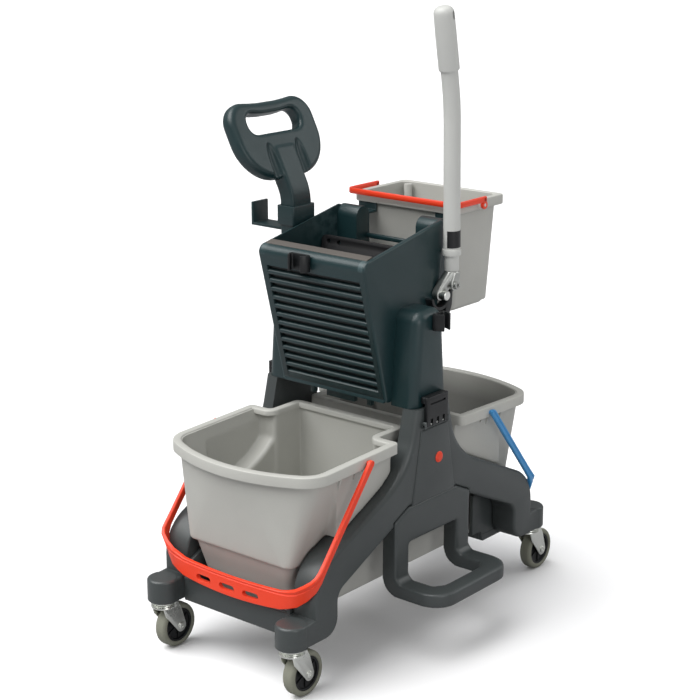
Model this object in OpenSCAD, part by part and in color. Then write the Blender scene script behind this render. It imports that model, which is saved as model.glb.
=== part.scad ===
// Double mop bucket trolley with a lever press, a small hung pail and a side foot loop.
// Millimetres, +Z up, front bucket towards -Y, lever side towards +X, wheels on Z = 0.

/* [Wheels] */
// Tyre diameter
wheel_d = 75; // [68:1:78]
// Tyre width
wheel_w = 22; // [18:1:26]
// Distance between the left and right swivel axes
track = 280; // [276:1:300]
// Distance between the front and rear swivel axes
wheelbase = 654; // [640:1:680]
// Distance from the swivel axis to the axle
trail = 25; // [22:1:27]
// Thickness of the fork's sheet
fork_t = 2.5; // [2:0.1:3.5]
// Axle diameter
axle_d = 8; // [6:0.5:10]
// Gap from the tyre's top to the fork
fork_gap = 3; // [2:0.5:6]
// Height of the swivel race
race_h = 7; // [5:0.5:10]

/* [Chassis] */
// Width of a leg from side to side
leg_w = 50; // [46:1:54]
// Depth of a leg's arch, measured upright
leg_depth = 68; // [60:1:76]
// Fall of the legs, in degrees
leg_fall = 25; // [23:0.5:27]
// Height of a leg's top where it starts its straight run
leg_z = 250; // [244:1:256]
// Length of a pillar, front to back
pillar_l = 92; // [88:1:100]
// Height of the pillars
pillar_h = 405; // [400:1:425]
// Diameter of a caster boss
boss_d = 52; // [46:1:56]
// Height of a caster boss
boss_h = 40; // [34:1:46]
// Wall of a cross member
cross_wall = 10; // [8:0.5:12]
// Height of a cross member
cross_h = 42; // [36:1:43]
// Depth of a cross member's shelf, front to back
cross_l = 88; // [70:1:100]
// Diameter of the side caps
cap_d = 19; // [14:0.5:24]

/* [Buckets] */
// Width over the rim
rim_w = 321; // [312:1:322]
// Height of the rim's top at the press
rim_h = 362; // [352:1:368]
// Fall of the rim towards its outer end, in degrees
rim_fall = 1.7; // [1:0.1:2.4]
// Height of the rim's skirt
skirt_h = 17; // [13:0.5:20]
// Width over the rim of the neck between the pillars
neck_w = 234; // [222:1:236]
// Gap between the two buckets' necks
neck_gap = 28; // [26:1:40]
// Length of the neck
neck_l = 71; // [60:1:74]
// Distance from the trolley's middle to the rim's outer end
bucket_reach = 330.5; // [324:0.5:338]
// Radius of the bowed end
bow_r = 294; // [270:1:320]
// Wall of the bucket
bucket_wall = 3.5; // [2.5:0.25:4.5]
// Height of the waist, where the lower tub starts
waist_z = 197; // [180:1:200]
// Distance from the middle to the bail pivots
bail_y = 166.5; // [150:0.5:175]
// Width of a bail's arm
bail_w = 12; // [8:0.5:14]
// Height of a bail's grip
grip_h = 30; // [22:1:32]

/* [Press] */
// Width over the press's side plates
press_w = 224; // [212:1:228]
// Thickness of the press's walls
press_wall = 6; // [4.5:0.5:7]
// Depth of the press at its floor
press_floor_l = 118; // [108:1:124]
// Lean of the front panel, in degrees
front_lean = 14.5; // [12:0.5:16]
// Lean of the back wall, in degrees
back_lean = 8; // [6:0.5:9]
// Height of the press from its underside to the front roll
press_h = 230; // [222:1:240]
// Rise of the side plates from front to back
side_rise = 36; // [28:1:44]
// Number of ribs on the front panel
rib_count = 13; // [9:1:15]
// Diameter of a rib
rib_d = 8; // [6:0.5:10]
// Width of a shoulder
shoulder_w = 46; // [40:1:48]
// Height of a shoulder
shoulder_h = 158; // [146:1:164]
// Thickness of the moving plate
ram_t = 8; // [6:0.5:10]
// Height of a latch
latch_h = 52; // [44:1:56]
// Width of a latch
latch_w = 56; // [44:1:60]

/* [Lever] */
// Tube diameter
tube_d = 28; // [24:0.5:30]
// Height of the tube's bend above the pivot
bend_h = 314; // [300:1:340]
// Bend of the tube, in degrees
bend_a = 9.2; // [5:0.2:14]
// Length of the tube above the bend
top_l = 156; // [150:1:180]
// Length of the grip
grip_l = 103; // [90:1:115]
// Grip diameter
grip_d = 34; // [32:0.5:38]
// Shaft diameter
shaft_d = 16; // [12:0.5:18]

/* [Pail] */
// Width over the pail's rim
pail_w = 218; // [200:1:220]
// Depth over the pail's rim
pail_l = 142; // [130:1:156]
// Height of the pail
pail_h = 189; // [170:1:200]
// Wall of the pail
pail_wall = 2.5; // [2:0.25:3.5]
// Height of the pail's rim above the pillars
pail_rise = 302; // [290:1:307]
// Height of the pail rim's skirt
pail_skirt = 17; // [13:0.5:20]

/* [Push handle] */
// Thickness of the mast, side to side
mast_t = 30; // [26:1:34]
// Width of the mast, front to back
mast_w = 48; // [42:1:54]
// Height of the mast's straight run above its shoulder
mast_h = 137; // [130:1:160]
// Outward lean of the head, in degrees
head_lean = 27; // [20:1:32]
// Width of the head, front to back
head_w = 196; // [186:1:208]
// Height of the head
head_h = 137; // [130:1:146]
// Thickness of the head
head_t = 27; // [22:1:30]
// Reach of the side hook from the mast
hook_reach = 85; // [78:1:96]

/* [Foot loop] */
// Length of the loop, front to back
loop_l = 204; // [180:1:216]
// Width of a loop leg, front to back
loop_leg = 37; // [30:1:44]
// Thickness of a loop leg, side to side
loop_t = 29; // [24:1:34]
// Height of the loop's tread above the floor
loop_z = 124; // [112:1:136]
// Thickness of the tread
tread_t = 24; // [18:1:28]
// Reach of the tread beyond the chassis
loop_reach = 93; // [80:1:100]

/* [Hidden] */
$fn = 64;

frame_colour = "#414547";
press_colour = "#37464a";
bucket_colour = "#a3a49f";
red_colour = "#e8472c";
blue_colour = "#3f7fb5";
black_colour = "#171b1d";
zinc_colour = "#c9cdc5";
lever_colour = "#b3b4b0";
tyre_colour = "#8c8d80";

run_gap = 0.3;
shaft_gap = 0.05;
cut = 1;

// Wheels and forks
axle_x = track / 2;
axle_y = wheelbase / 2;
wheel_r = wheel_d / 2;
fork_top = wheel_d + fork_gap;
fork_plate = 4;
race_z = fork_top + fork_plate + run_gap;
foot_z = race_z + race_h;
race_r = boss_d * 0.4;
hub_r = wheel_r * 0.6;
cheek_x = wheel_w / 2 + 1.5;
king_r = 6;

// Side frames
leg_in = axle_x - leg_w / 2;
leg_out = axle_x + leg_w / 2;
pillar_y = pillar_l / 2;
run_y = 190;
fillet_r = 120;
pillar_flare = 14;
pillar_t = 29;
nose_r = 75;
arch_r = 25;
heel_r = 30;
foot_top = foot_z + boss_h;
leg_end = axle_y - boss_d / 2 - 4;
foot_in = leg_end - 54;
neck_clear = 3;
pillar_in = max(leg_out - pillar_t, neck_w / 2 + neck_clear);
under_z = leg_z - leg_depth;
cap_y = 11.5;
cap_z = (leg_z + rim_h) / 2 + 7.5;
flank_d = fillet_r + pillar_y * cos(pillar_flare) + pillar_h * sin(pillar_flare);
run_d = fillet_r + run_y * sin(leg_fall) + leg_z * cos(leg_fall);
fillet_y = (flank_d * cos(leg_fall) - run_d * sin(pillar_flare)) / cos(leg_fall + pillar_flare);
fillet_z = (run_d * cos(pillar_flare) - flank_d * sin(leg_fall)) / cos(leg_fall + pillar_flare);
nose_y = leg_end - nose_r;
nose_z = leg_z - (nose_r + (nose_y - run_y) * sin(leg_fall)) / cos(leg_fall);
arch_y = foot_in - arch_r;
arch_z = under_z - (arch_r + (arch_y - run_y) * sin(leg_fall)) / cos(leg_fall);
loop_lap = 7;
loop_y = loop_l / 2;
loop_in_y = loop_y - loop_leg;
seat_y = loop_y + run_gap;

// Cross members
cross_z = foot_z - 3;
cross_out = leg_end + 6;
shelf_t = 12;
shelf_z = cross_z + shelf_t;

// Buckets
rim_y = (neck_gap + 2 * neck_l) / 2;
neck_y = neck_gap / 2;
skirt_t = 4.5;
flange_t = 3;
overhang = 10;
tub_z = shelf_z + run_gap;
tub_x = leg_in - 11;
waist_x = leg_in - 3;
waist_set = 5;
waist_y = cross_out - waist_set;
sill_x = leg_in + 28;
sill_y = 222;
tub_draft_x = 10;
tub_draft_y = 33;
neck_wall_x = neck_w / 2 - 9;
neck_wall_y = neck_y + 6;
rim_corner = 51.5;
tub_corner = 15;
leg_gap = 0.4;

// Bails
bail_t = 8;
bail_z = rim_h - (bail_y - rim_y) * sin(rim_fall) - skirt_h / 2 - 1;
bail_x = rim_w / 2 + 2;
pin_r = 4;
eye_r = 6.5;
elbow_y = leg_end - 5;
elbow_z = nose_z + 44;
grip_drop = 36;
grip_set = 1.5;
grip_hang = 15;
arm_lean = atan2(elbow_y - bail_y, bail_z - elbow_z);
grip_y = elbow_y + grip_drop * sin(arm_lean) - grip_set;
grip_z = elbow_z - grip_drop * cos(arm_lean) - grip_hang;
grip_x = leg_in + 7;
grip_t = 9;
grip_sag = 9;
grip_slot = 32;
grip_pitch = 52;

// Press
press_x = press_w / 2;
in_x = press_x - press_wall;
press_z = pillar_h + 5;
base_t = 8;
floor_z = press_z + base_t;
half_floor = press_floor_l / 2;
roll_r = 14;
roll_z = press_z + press_h;
roll_y = -front_y(roll_z) + roll_r / cos(front_lean);
lip_t = 8.5;
lip_l = 15;
lip_y = roll_y - 2;
lip_z = roll_z + roll_r - 7;
back_top = press_z + 222;
side_top = roll_z + roll_r + side_rise;
side_back = back_y(side_top) - 4;
post_l = 35;
post_in = 63;
post_z = press_z + 144;
post_y = side_back - 15;
ram_z = press_z + 212;
ram_y = back_y(ram_z) - 47;
ram_top = 23;
ram_drop = 190;
ram_x = in_x - 3;
ram_pin_r = 4;
bar_z = press_z + 224;
bar_t = 8;
bar_y = post_y + post_l - bar_t - 2;
lug_w = 60;
lug_x = 61;
lug_y = 41;
lug_t = 9;
lug_h = 17;

// Shoulders and latches
shoulder_x = press_x + shoulder_w;
shoulder_top = pillar_h + shoulder_h;
shoulder_foot = 47;
shoulder_head = 36;
shoulder_r = 16;
latch_t = 7;
latch_top = pillar_h + 19;
latch_z = latch_top - latch_h;
latch_face = max(leg_out, shoulder_x) + run_gap;
latch_pin_r = 2;
latch_pin_x = latch_face + latch_t / 2;
latch_pin_z = latch_z + 5;
ear_w = 5;
ear_gap = 0.3;
ear_y = latch_w / 2 + ear_gap + ear_w / 2;

// Lever, worked out from its pivot
pivot_z = press_z + 160;
pivot_y = back_y(pivot_z) - 12;
pivot_boss = 17;
lever_x = press_x + tube_d / 2 + 4;
foot_y = 21;
foot_h = 38;
ferrule_h = 26;
collar_h = 11;
ferrule_d = tube_d - 4;
bend_swell = 0.5;
lean_a = 1.2;
label_z = 3;
label_h = 28;
label_t = 0.6;
slot_w = 7;
slot_l = 20;

// Pail and its hanger
pail_x = pail_w / 2;
pail_z = pillar_h + pail_rise;
pail_front = post_y + post_l + 15;
pail_mid = pail_front + pail_l / 2;
pail_foot = pail_z - pail_h;
pail_lip = 3;
pail_over = 8;
pail_draft = 9;
pail_r = 14;
pail_pin_z = pail_z - pail_skirt / 2;
pail_pin_r = 3;
bail_rod = 5;
pail_arm_x = pail_x + 7;
pail_rod_z = pail_z + 1;
hang_lip = 3;
hang_drop = 16;
hang_t = 4;
hang_w = min(in_x, pail_x - pail_lip) - 4 - post_in;
hang_y = pail_front + pail_lip + run_gap;

// Push handle
mast_x = -(press_x + shoulder_w / 2 - 1);
mast_y = 4;
neck_r = 70;
neck_z = shoulder_top + mast_h;
head_z = neck_z + neck_r * tan(head_lean / 2);
head_foot = 30;
belly_r = 79;
lobe_r = 48;
hole_w = 128;
hole_h = 38;
hole_r = 18;
crown_bar = 21;
groove_y = mast_w / 2 + 12;
groove_w = 18;
groove_h = 58;
groove_t = 9;
collar_wall = 4;
hook_h = 44;
tip_h = 40;
hook_w = 38;
hook_t = 4.5;
hook_root = 15;
hook_lift = 12;
hook_z = shoulder_top + 92;

// Foot loop
loop_out = leg_out + 2.4;
tread_x = loop_out + loop_reach - 2;
tread_bar = 31;
tread_r = 40;
band_h = 44;
loop_top = under_line(seat_y) + loop_lap;

// The bounding box's middle, which the part stands over
x_mid = (tread_x + mast_x - hook_reach) / 2;
y_mid = (trail + wheel_r - boss_d / 2) / 2;

function front_y(z) = half_floor + (z - floor_z) * tan(front_lean);
function back_y(z) = half_floor + (z - floor_z) * tan(back_lean);
function under_line(y) = under_z + (run_y - y) * tan(leg_fall);
function arc(y, z, r, a, b, n = 10) =
    [for (i = [0:n]) let (t = a + (b - a) * i / n) [y + r * cos(t), z + r * sin(t)]];
function flip(points) = [for (i = [len(points) - 1:-1:0]) [-points[i][0], points[i][1]]];

// Top of one leg, from the pillar to the foot
function leg_top() = concat([[pillar_y, pillar_h]],
    arc(fillet_y, fillet_z, fillet_r, 180 + pillar_flare, 270 - leg_fall, 14),
    arc(nose_y, nose_z, nose_r, 90 - leg_fall, 0));

// Underside of one leg, from the foot to the loop's seat
function leg_under() = concat(arc(foot_in + heel_r, foot_z + heel_r, heel_r, 270, 180),
    arc(arch_y, arch_z, arch_r, 0, 90 - leg_fall),
    [[seat_y, under_line(seat_y)], [seat_y, under_line(seat_y) + loop_lap],
     [loop_in_y, under_line(loop_in_y) + loop_lap]]);

function frame_half() =
    concat(leg_top(), [[leg_end, foot_top], [axle_y, foot_top], [axle_y, foot_z]], leg_under());

// Outline of a bucket seen from above, bowed at its -Y end, drawn in by a margin
function plan(margin) = let (w = rim_w / 2 - margin, r = bow_r - margin, c = max(rim_corner - margin, 2),
    y = -(bucket_reach - bow_r), d = sqrt(pow(r - c, 2) - pow(w - c, 2)), a = atan2(d, w - c))
    concat([[-w, -rim_y], [w, -rim_y]], arc(w - c, y - d, c, 0, -a, 6), arc(0, y, r, -a, a - 180, 28),
        arc(c - w, y - d, c, a - 180, -180, 6));

module place() translate([-x_mid, -y_mid, 0]) children();

module sides() {
    children();
    mirror([1, 0, 0]) children();
}

module along_x(x, w) translate([x, 0, 0]) rotate([90, 0, 90]) linear_extrude(w) children();

module rod_x(x0, x1, y, z, r) translate([x0, y, z]) rotate([0, 90, 0]) cylinder(r = r, h = x1 - x0);

module slab(x, y0, y1, z, t, r) {
    for (sx = [-1, 1], y = [y0 + r, y1 - r])
        translate([sx * (x - r), y, z]) cylinder(r = r, h = t, $fn = 32);
}

// Chassis

module side_frame() {
    color(frame_colour) difference() {
        union() {
            along_x(leg_in, leg_w) polygon(concat(frame_half(), flip(frame_half())));
            for (s = [-1, 1]) translate([axle_x, s * axle_y, foot_z]) cylinder(d = boss_d, h = boss_h);
            for (s = [-1, 1]) translate([leg_out - cut, s * ear_y - ear_w / 2, latch_z])
                cube([latch_face - leg_out + latch_t + cut, ear_w, 12]);
        }
        translate([leg_in - cut, -rim_y, rim_h - 2 * skirt_h])
            cube([pillar_in - leg_in + cut, 2 * rim_y, pillar_h]);
        translate([latch_pin_x, -latch_w, latch_pin_z]) rotate([-90, 0, 0])
            cylinder(r = latch_pin_r + shaft_gap, h = 2 * latch_w);
    }
}

module cross_member() {
    color(frame_colour) {
        translate([-leg_in, -cross_out, cross_z]) cube([2 * leg_in, cross_wall, cross_h]);
        translate([-leg_in, -cross_out, cross_z]) cube([2 * leg_in, cross_l, shelf_t]);
    }
}

module side_caps() {
    color(red_colour) place() sides() rod_x(leg_out, leg_out + 3, cap_y, cap_z, cap_d / 2);
}

// Buckets

module tilted() translate([0, -rim_y, rim_h]) rotate([rim_fall, 0, 0]) translate([0, rim_y, 0]) children();

module rim_slab(margin, z, t) tilted() translate([0, 0, z]) linear_extrude(t) polygon(plan(margin));

// What a leg takes out of a bucket's flank, grown by a margin
module leg_room(grow) {
    sides() translate([0, -0.7 * grow, 0.7 * grow]) mirror([0, 1, 0])
        along_x(waist_x - grow + leg_gap, leg_w + 60)
            polygon(concat(leg_top(), [[leg_end, foot_z], [pillar_y, foot_z]]));
}

// Outer or inner form of a bucket's tub, drawn in by a margin
module tub(margin, lift) {
    difference() {
        union() {
            hull() {
                rim_slab(overhang + margin, lift - flange_t, 1);
                slab(waist_x - margin, -waist_y + margin, -rim_y, waist_z, 1, tub_corner);
            }
            translate([-sill_x + margin, -sill_y + margin, waist_z])
                cube([2 * (sill_x - margin), sill_y - rim_y - margin, rim_h - waist_z - 8 + lift]);
        }
        leg_room(leg_gap + margin * 1.07);
    }
    translate([-neck_wall_x + margin, -rim_y - 20, waist_z])
        cube([2 * (neck_wall_x - margin), rim_y + 20 - neck_wall_y - margin,
            rim_h - waist_z - flange_t + lift]);
    hull() {
        slab(tub_x - margin, -waist_y + 5 + margin, -neck_wall_y - margin, waist_z, 1, tub_corner);
        slab(tub_x - tub_draft_x - margin, -waist_y + 5 + tub_draft_y + margin, -neck_wall_y - margin,
            tub_z + margin, 1, tub_corner);
    }
}

module rim() {
    difference() {
        union() {
            rim_slab(0, -skirt_h, skirt_h);
            translate([-neck_w / 2, -rim_y - 5, rim_h - skirt_h])
                cube([neck_w, rim_y + 5 - neck_y, skirt_h]);
        }
        rim_slab(skirt_t, -skirt_h - cut, skirt_h + cut - flange_t);
        translate([-neck_w / 2 + skirt_t, -rim_y - 20, rim_h - skirt_h - cut])
            cube([neck_w - 2 * skirt_t, rim_y + 20 - neck_y - skirt_t, skirt_h + cut - flange_t]);
    }
}

module bucket() {
    color(bucket_colour) difference() {
        union() {
            rim();
            tub(0, 0);
        }
        tub(bucket_wall, 12);
        rod_x(-rim_w, rim_w, -bail_y, bail_z, pin_r + shaft_gap);
    }
}

// The bail's arms lie in the plane through its pins and its elbows
module bail(tint) {
    run = norm([elbow_y - bail_y, bail_z - elbow_z]);
    outer_x = bail_x + bail_t;
    end_run = run + grip_drop;
    color(tint) {
        sides() {
            rod_x(bail_x - 9, outer_x, -bail_y, bail_z, pin_r);
            rod_x(bail_x, outer_x, -bail_y, bail_z, eye_r);
            translate([0, -bail_y, bail_z]) rotate([-arm_lean, 0, 0]) translate([0, bail_w / 2, 0])
                rotate([90, 0, 0]) linear_extrude(bail_w)
                    polygon([[bail_x, 0], [outer_x, 0], [outer_x, -run],
                        [grip_x, -end_run], [grip_x - bail_t, -end_run], [bail_x, -run + bail_t]]);
        }
        difference() {
            translate([0, -grip_y + grip_t, 0]) rotate([90, 0, 0]) linear_extrude(grip_t)
                polygon(concat([[grip_x, grip_z + grip_h / 2], [-grip_x, grip_z + grip_h / 2]],
                    [for (i = [-6:6])
                        [i * grip_x / 6, grip_z - grip_h / 2 - grip_sag * (1 - i * i / 36)]]));
            for (i = [-1:1]) translate([i * grip_pitch - grip_slot / 2, -grip_y - cut, grip_z - grip_sag])
                cube([grip_slot, grip_t + 2 * cut, grip_sag]);
        }
    }
}

// Casters, drawn about a swivel axis

module race() {
    color(zinc_colour) {
        translate([0, 0, race_z]) cylinder(r = race_r, h = race_h);
        translate([0, 0, fork_top - 2]) cylinder(r = king_r, h = race_z - fork_top + 2 + cut);
    }
}

module fork() {
    color(zinc_colour) difference() {
        union() {
            translate([0, 0, fork_top]) cylinder(r = race_r, h = fork_plate);
            translate([-cheek_x - fork_t, -14, fork_top]) cube([2 * (cheek_x + fork_t), 34, fork_plate]);
            for (x = [-cheek_x - fork_t, cheek_x]) along_x(x, fork_t)
                polygon(concat([[-14, fork_top + cut], [-10, fork_top - 14]],
                    arc(trail, wheel_r, 11, 200, 380),
                    [[24, fork_top - 10], [20, fork_top + cut]]));
        }
        translate([0, 0, fork_top - cut]) cylinder(r = king_r + shaft_gap, h = fork_plate + 2 * cut);
        rod_x(-track, track, trail, wheel_r, axle_d / 2 + shaft_gap);
    }
}

module axle() {
    color(zinc_colour) {
        rod_x(-cheek_x - fork_t - 2, cheek_x + fork_t + 2, trail, wheel_r, axle_d / 2);
        for (s = [0, 1]) mirror([s, 0, 0])
            rod_x(cheek_x + fork_t, cheek_x + fork_t + 2, trail, wheel_r, axle_d / 2 + 2.5);
    }
}

module hub() {
    color(black_colour) translate([0, trail, wheel_r]) rotate([0, 90, 0]) rotate_extrude()
        polygon([[axle_d / 2 + shaft_gap, -cheek_x + run_gap], [axle_d / 2 + 5, -cheek_x + run_gap],
            [axle_d / 2 + 5, -wheel_w / 2 + 5], [hub_r - 4, -wheel_w / 2 + 5],
            [hub_r - 4, -wheel_w / 2 + 2], [hub_r, -wheel_w / 2 + 2],
            [hub_r, wheel_w / 2 - 2], [hub_r - 4, wheel_w / 2 - 2],
            [hub_r - 4, wheel_w / 2 - 5], [axle_d / 2 + 5, wheel_w / 2 - 5],
            [axle_d / 2 + 5, cheek_x - run_gap], [axle_d / 2 + shaft_gap, cheek_x - run_gap]]);
}

module tyre() {
    shoulder = 5;
    edge = wheel_w / 2;
    color(tyre_colour) translate([0, trail, wheel_r]) rotate([0, 90, 0]) rotate_extrude()
        polygon(concat([[hub_r + shaft_gap, -edge + 2], [hub_r + 3, -edge]],
            arc(wheel_r - shoulder, shoulder - edge, shoulder, -90, 0, 6),
            arc(wheel_r - shoulder, edge - shoulder, shoulder, 0, 90, 6),
            [[hub_r + 3, edge], [hub_r + shaft_gap, edge - 2]]));
}

module caster_at(side, end) place() translate([side * axle_x, end * axle_y, 0]) children();

// Press

// Front face of the press at a height, as a point
function on_front(z) = [-front_y(z), z];

module press_front() {
    ribs_low = floor_z + 20;
    ribs_high = roll_z - 19;
    roll_foot = roll_z - roll_r * sin(front_lean);
    color(press_colour) place() difference() {
        union() {
            along_x(-in_x, 2 * in_x) polygon([on_front(floor_z), on_front(roll_foot),
                on_front(roll_foot) + [press_wall, 0], on_front(floor_z) + [press_wall, 0]]);
            rod_x(-in_x, in_x, roll_y, roll_z, roll_r);
            for (i = [0:rib_count - 1]) {
                z = ribs_low + (ribs_high - ribs_low) * i / (rib_count - 1);
                rod_x(-in_x + 8, in_x - 8, -front_y(z), z, rib_d / 2);
            }
        }
        translate([-press_w, lip_y, lip_z]) cube([2 * press_w, 2 * roll_r, roll_r]);
    }
}

module press_lip() {
    color("#7d7973") place() translate([-in_x, lip_y, lip_z]) cube([2 * in_x, lip_l, lip_t]);
}

module press_side(bored) {
    color(press_colour) difference() {
        union() {
            along_x(in_x, press_wall)
                polygon(concat([[half_floor, press_z], [-half_floor, press_z], on_front(floor_z)],
                    arc(roll_y, roll_z, roll_r, 180 + front_lean, 90),
                    arc(side_back - 6, side_top - 6, 6, 90, 0),
                    [[back_y(post_z), post_z], [half_floor, floor_z]]));
            if (bored) rod_x(in_x, press_x, pivot_y, pivot_z, pivot_boss);
        }
        if (bored) rod_x(in_x - cut, press_x + cut, pivot_y, pivot_z, shaft_d / 2 + shaft_gap);
        rod_x(in_x - cut, press_x - 2, ram_y, ram_z, ram_pin_r + shaft_gap);
    }
}

module press_back() {
    color(press_colour) place() {
        along_x(-in_x, 2 * in_x) polygon([[back_y(floor_z), floor_z], [back_y(back_top), back_top],
            [back_y(back_top) - press_wall, back_top], [back_y(floor_z) - press_wall, floor_z]]);
        sides() along_x(post_in, in_x - post_in)
            polygon(concat([[post_y, post_z], [post_y + post_l, post_z]],
                arc(post_y + post_l / 2, side_top - post_l / 2, post_l / 2, 0, 180)));
    }
}

module press_base() {
    slots = 7;
    slot = 10;
    end = 18;
    pitch = 2 * in_x / (slots + 1);
    color(press_colour) place() difference() {
        union() {
            translate([-in_x, -half_floor, press_z]) cube([2 * in_x, press_floor_l, base_t]);
            translate([-lug_w / 2, -lug_y, press_z - lug_h]) cube([lug_w, lug_t, lug_h + cut]);
            for (x = [-lug_x, lug_x]) translate([x - lug_t / 2, -lug_y, press_z - lug_h])
                cube([lug_t, lug_t, lug_h + cut]);
        }
        for (i = [1:slots]) translate([i * pitch - in_x - slot / 2, -half_floor + end, press_z - cut])
            cube([slot, press_floor_l - 2 * end, base_t + 2 * cut]);
    }
}

module press_bar() {
    color(press_colour) place() translate([-post_in, bar_y, bar_z]) cube([2 * post_in, bar_t, bar_t]);
}

// Moving plate, hung from its pins and level with the back wall
module press_ram() {
    color("#2b2b2e") place() {
        translate([0, ram_y, ram_z]) rotate([-back_lean, 0, 0]) difference() {
            union() {
                translate([-ram_x, -ram_t, -ram_drop]) cube([2 * ram_x, ram_t, ram_drop + ram_top]);
                rod_x(-ram_x, ram_x, 0, 0, ram_pin_r + 3);
            }
            for (x = [-88, -66, 66, 88]) rod_y(x, ram_top - 10, 4);
        }
        sides() rod_x(ram_x - cut, press_x - 2.5, ram_y, ram_z, ram_pin_r);
    }
}

module rod_y(x, z, r) translate([x, -60, z]) rotate([-90, 0, 0]) cylinder(r = r, h = 120);

module shoulder() {
    color(press_colour) along_x(press_x, shoulder_w)
        polygon(concat([[-shoulder_foot, pillar_h], [shoulder_foot, pillar_h]],
            arc(shoulder_head - shoulder_r, shoulder_top - shoulder_r, shoulder_r, 0, 90),
            arc(shoulder_r - shoulder_head, shoulder_top - shoulder_r, shoulder_r, 90, 180)));
}

module latch() {
    color(black_colour) difference() {
        union() {
            translate([latch_face, -latch_w / 2, latch_pin_z])
                cube([latch_t, latch_w, latch_top - latch_pin_z]);
            translate([latch_pin_x, -latch_w / 2, latch_pin_z]) rotate([-90, 0, 0])
                cylinder(d = latch_t, h = latch_w);
            translate([shoulder_x + run_gap, -latch_w / 2, pillar_h + 8])
                cube([latch_face - shoulder_x - run_gap + cut, latch_w, latch_top - pillar_h - 8]);
            for (i = [-1:1]) translate([latch_face + latch_t - cut, i * 16 - 3, latch_z + 12])
                cube([cut + 2, 6, latch_h / 2]);
        }
        translate([latch_pin_x, -latch_w, latch_pin_z]) rotate([-90, 0, 0])
            cylinder(r = latch_pin_r + shaft_gap, h = 2 * latch_w);
    }
}

module latch_pins() {
    half = latch_w / 2 + ear_gap + ear_w;
    color(zinc_colour) place() sides() translate([latch_pin_x, -half, latch_pin_z]) rotate([-90, 0, 0])
        cylinder(r = latch_pin_r, h = 2 * half);
}

// Spring clip for a tool handle, with its mouth towards +Z of its own frame
module tool_clip(w, l, h) {
    jaw = 4;
    color(black_colour) difference() {
        translate([-w / 2, -l, 0]) cube([w, l, h]);
        translate([jaw - w / 2, -l - cut, h * 0.35]) cube([w - 2 * jaw, l - jaw + cut, h]);
    }
}

module front_tool_clip() {
    place() translate([-18, roll_y - roll_r, roll_z - 17]) tool_clip(40, 18, 28);
}

module side_tool_clip() {
    place() translate([shoulder_x, 14, shoulder_top - 34]) rotate([0, 0, 90]) tool_clip(30, 20, 28);
}

// Lever

module on_lever()
    translate([lever_x, pivot_y + foot_y, pivot_z + foot_h]) rotate([lean_a, 0, 0]) children();

module above_bend() on_lever() translate([0, 0, bend_h - foot_h]) rotate([bend_a, 0, 0]) children();

module lever_shaft() {
    color(zinc_colour) place() rod_x(in_x, lever_x + 8, pivot_y, pivot_z, shaft_d / 2);
}

module lever_clevis() {
    color(zinc_colour) place() difference() {
        hull() {
            rod_x(press_x + 0.5, lever_x + 7, pivot_y, pivot_z, shaft_d / 2 + 5);
            on_lever() translate([0, 0, -12]) cylinder(d = ferrule_d, h = 12, $fn = 32);
        }
        rod_x(in_x, lever_x + 20, pivot_y, pivot_z, shaft_d / 2 + shaft_gap);
    }
}

module lever_bolt() {
    color(zinc_colour) place()
        translate([lever_x + ferrule_d / 2, pivot_y + foot_y - 6, pivot_z + foot_h - 22])
        rotate([0, 90, 0]) difference() {
            cylinder(r = 6.5, h = 6);
            translate([0, 0, 3]) cylinder(r = 3, h = 6, $fn = 6);
        }
}

module lever_ferrule() {
    color(lever_colour) place() on_lever() cylinder(d = ferrule_d, h = ferrule_h);
}

module lever_collar() {
    color(lever_colour) place() on_lever() translate([0, 0, ferrule_h])
        cylinder(d = tube_d + 3, h = collar_h);
}

module lever_tube() {
    base = ferrule_h + collar_h;
    color(lever_colour) place() {
        on_lever() translate([0, 0, base]) cylinder(d = tube_d, h = bend_h - foot_h - base);
        above_bend() sphere(d = tube_d + bend_swell);
        above_bend() cylinder(d = tube_d, h = top_l - grip_l);
    }
}

module lever_label() {
    r = tube_d / 2;
    color(black_colour) place() on_lever() translate([0, 0, ferrule_h + collar_h + label_z]) difference() {
        cylinder(r = r + label_t, h = label_h);
        translate([0, 0, -cut]) cylinder(r = r + 0.02, h = label_h + 2 * cut);
        translate([-2 * tube_d, -tube_d, -cut]) cube([2 * tube_d, 2 * tube_d, label_h + 2 * cut]);
    }
}

module lever_grip() {
    r = grip_d / 2;
    color(lever_colour) place() above_bend() translate([0, 0, top_l - grip_l]) difference() {
        rotate_extrude()
            polygon(concat([[0, 0], [r, 0]], arc(r - 12, grip_l - 12, 12, 0, 90), [[0, grip_l]]));
        translate([-grip_d, 0, grip_l - 14 - slot_l / 2]) for (z = [0, slot_l - slot_w])
            translate([0, 0, z]) rotate([0, 90, 0]) cylinder(d = slot_w, h = 2 * grip_d);
        translate([-grip_d, -slot_w / 2, grip_l - 14 - slot_l / 2])
            cube([2 * grip_d, slot_w, slot_l - slot_w]);
    }
}

// Pail

module pail_form(margin, z0, z1) {
    hull() {
        translate([0, 0, z1]) slab(pail_x - pail_over - margin, pail_front + pail_over + margin,
            pail_front + pail_l - pail_over - margin, 0, 1, pail_r);
        translate([0, 0, z0]) slab(pail_x - pail_over - pail_draft - margin,
            pail_front + pail_over + pail_draft / 2 + margin,
            pail_front + pail_l - pail_over - pail_draft - margin, 0, 1, pail_r);
    }
}

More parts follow.
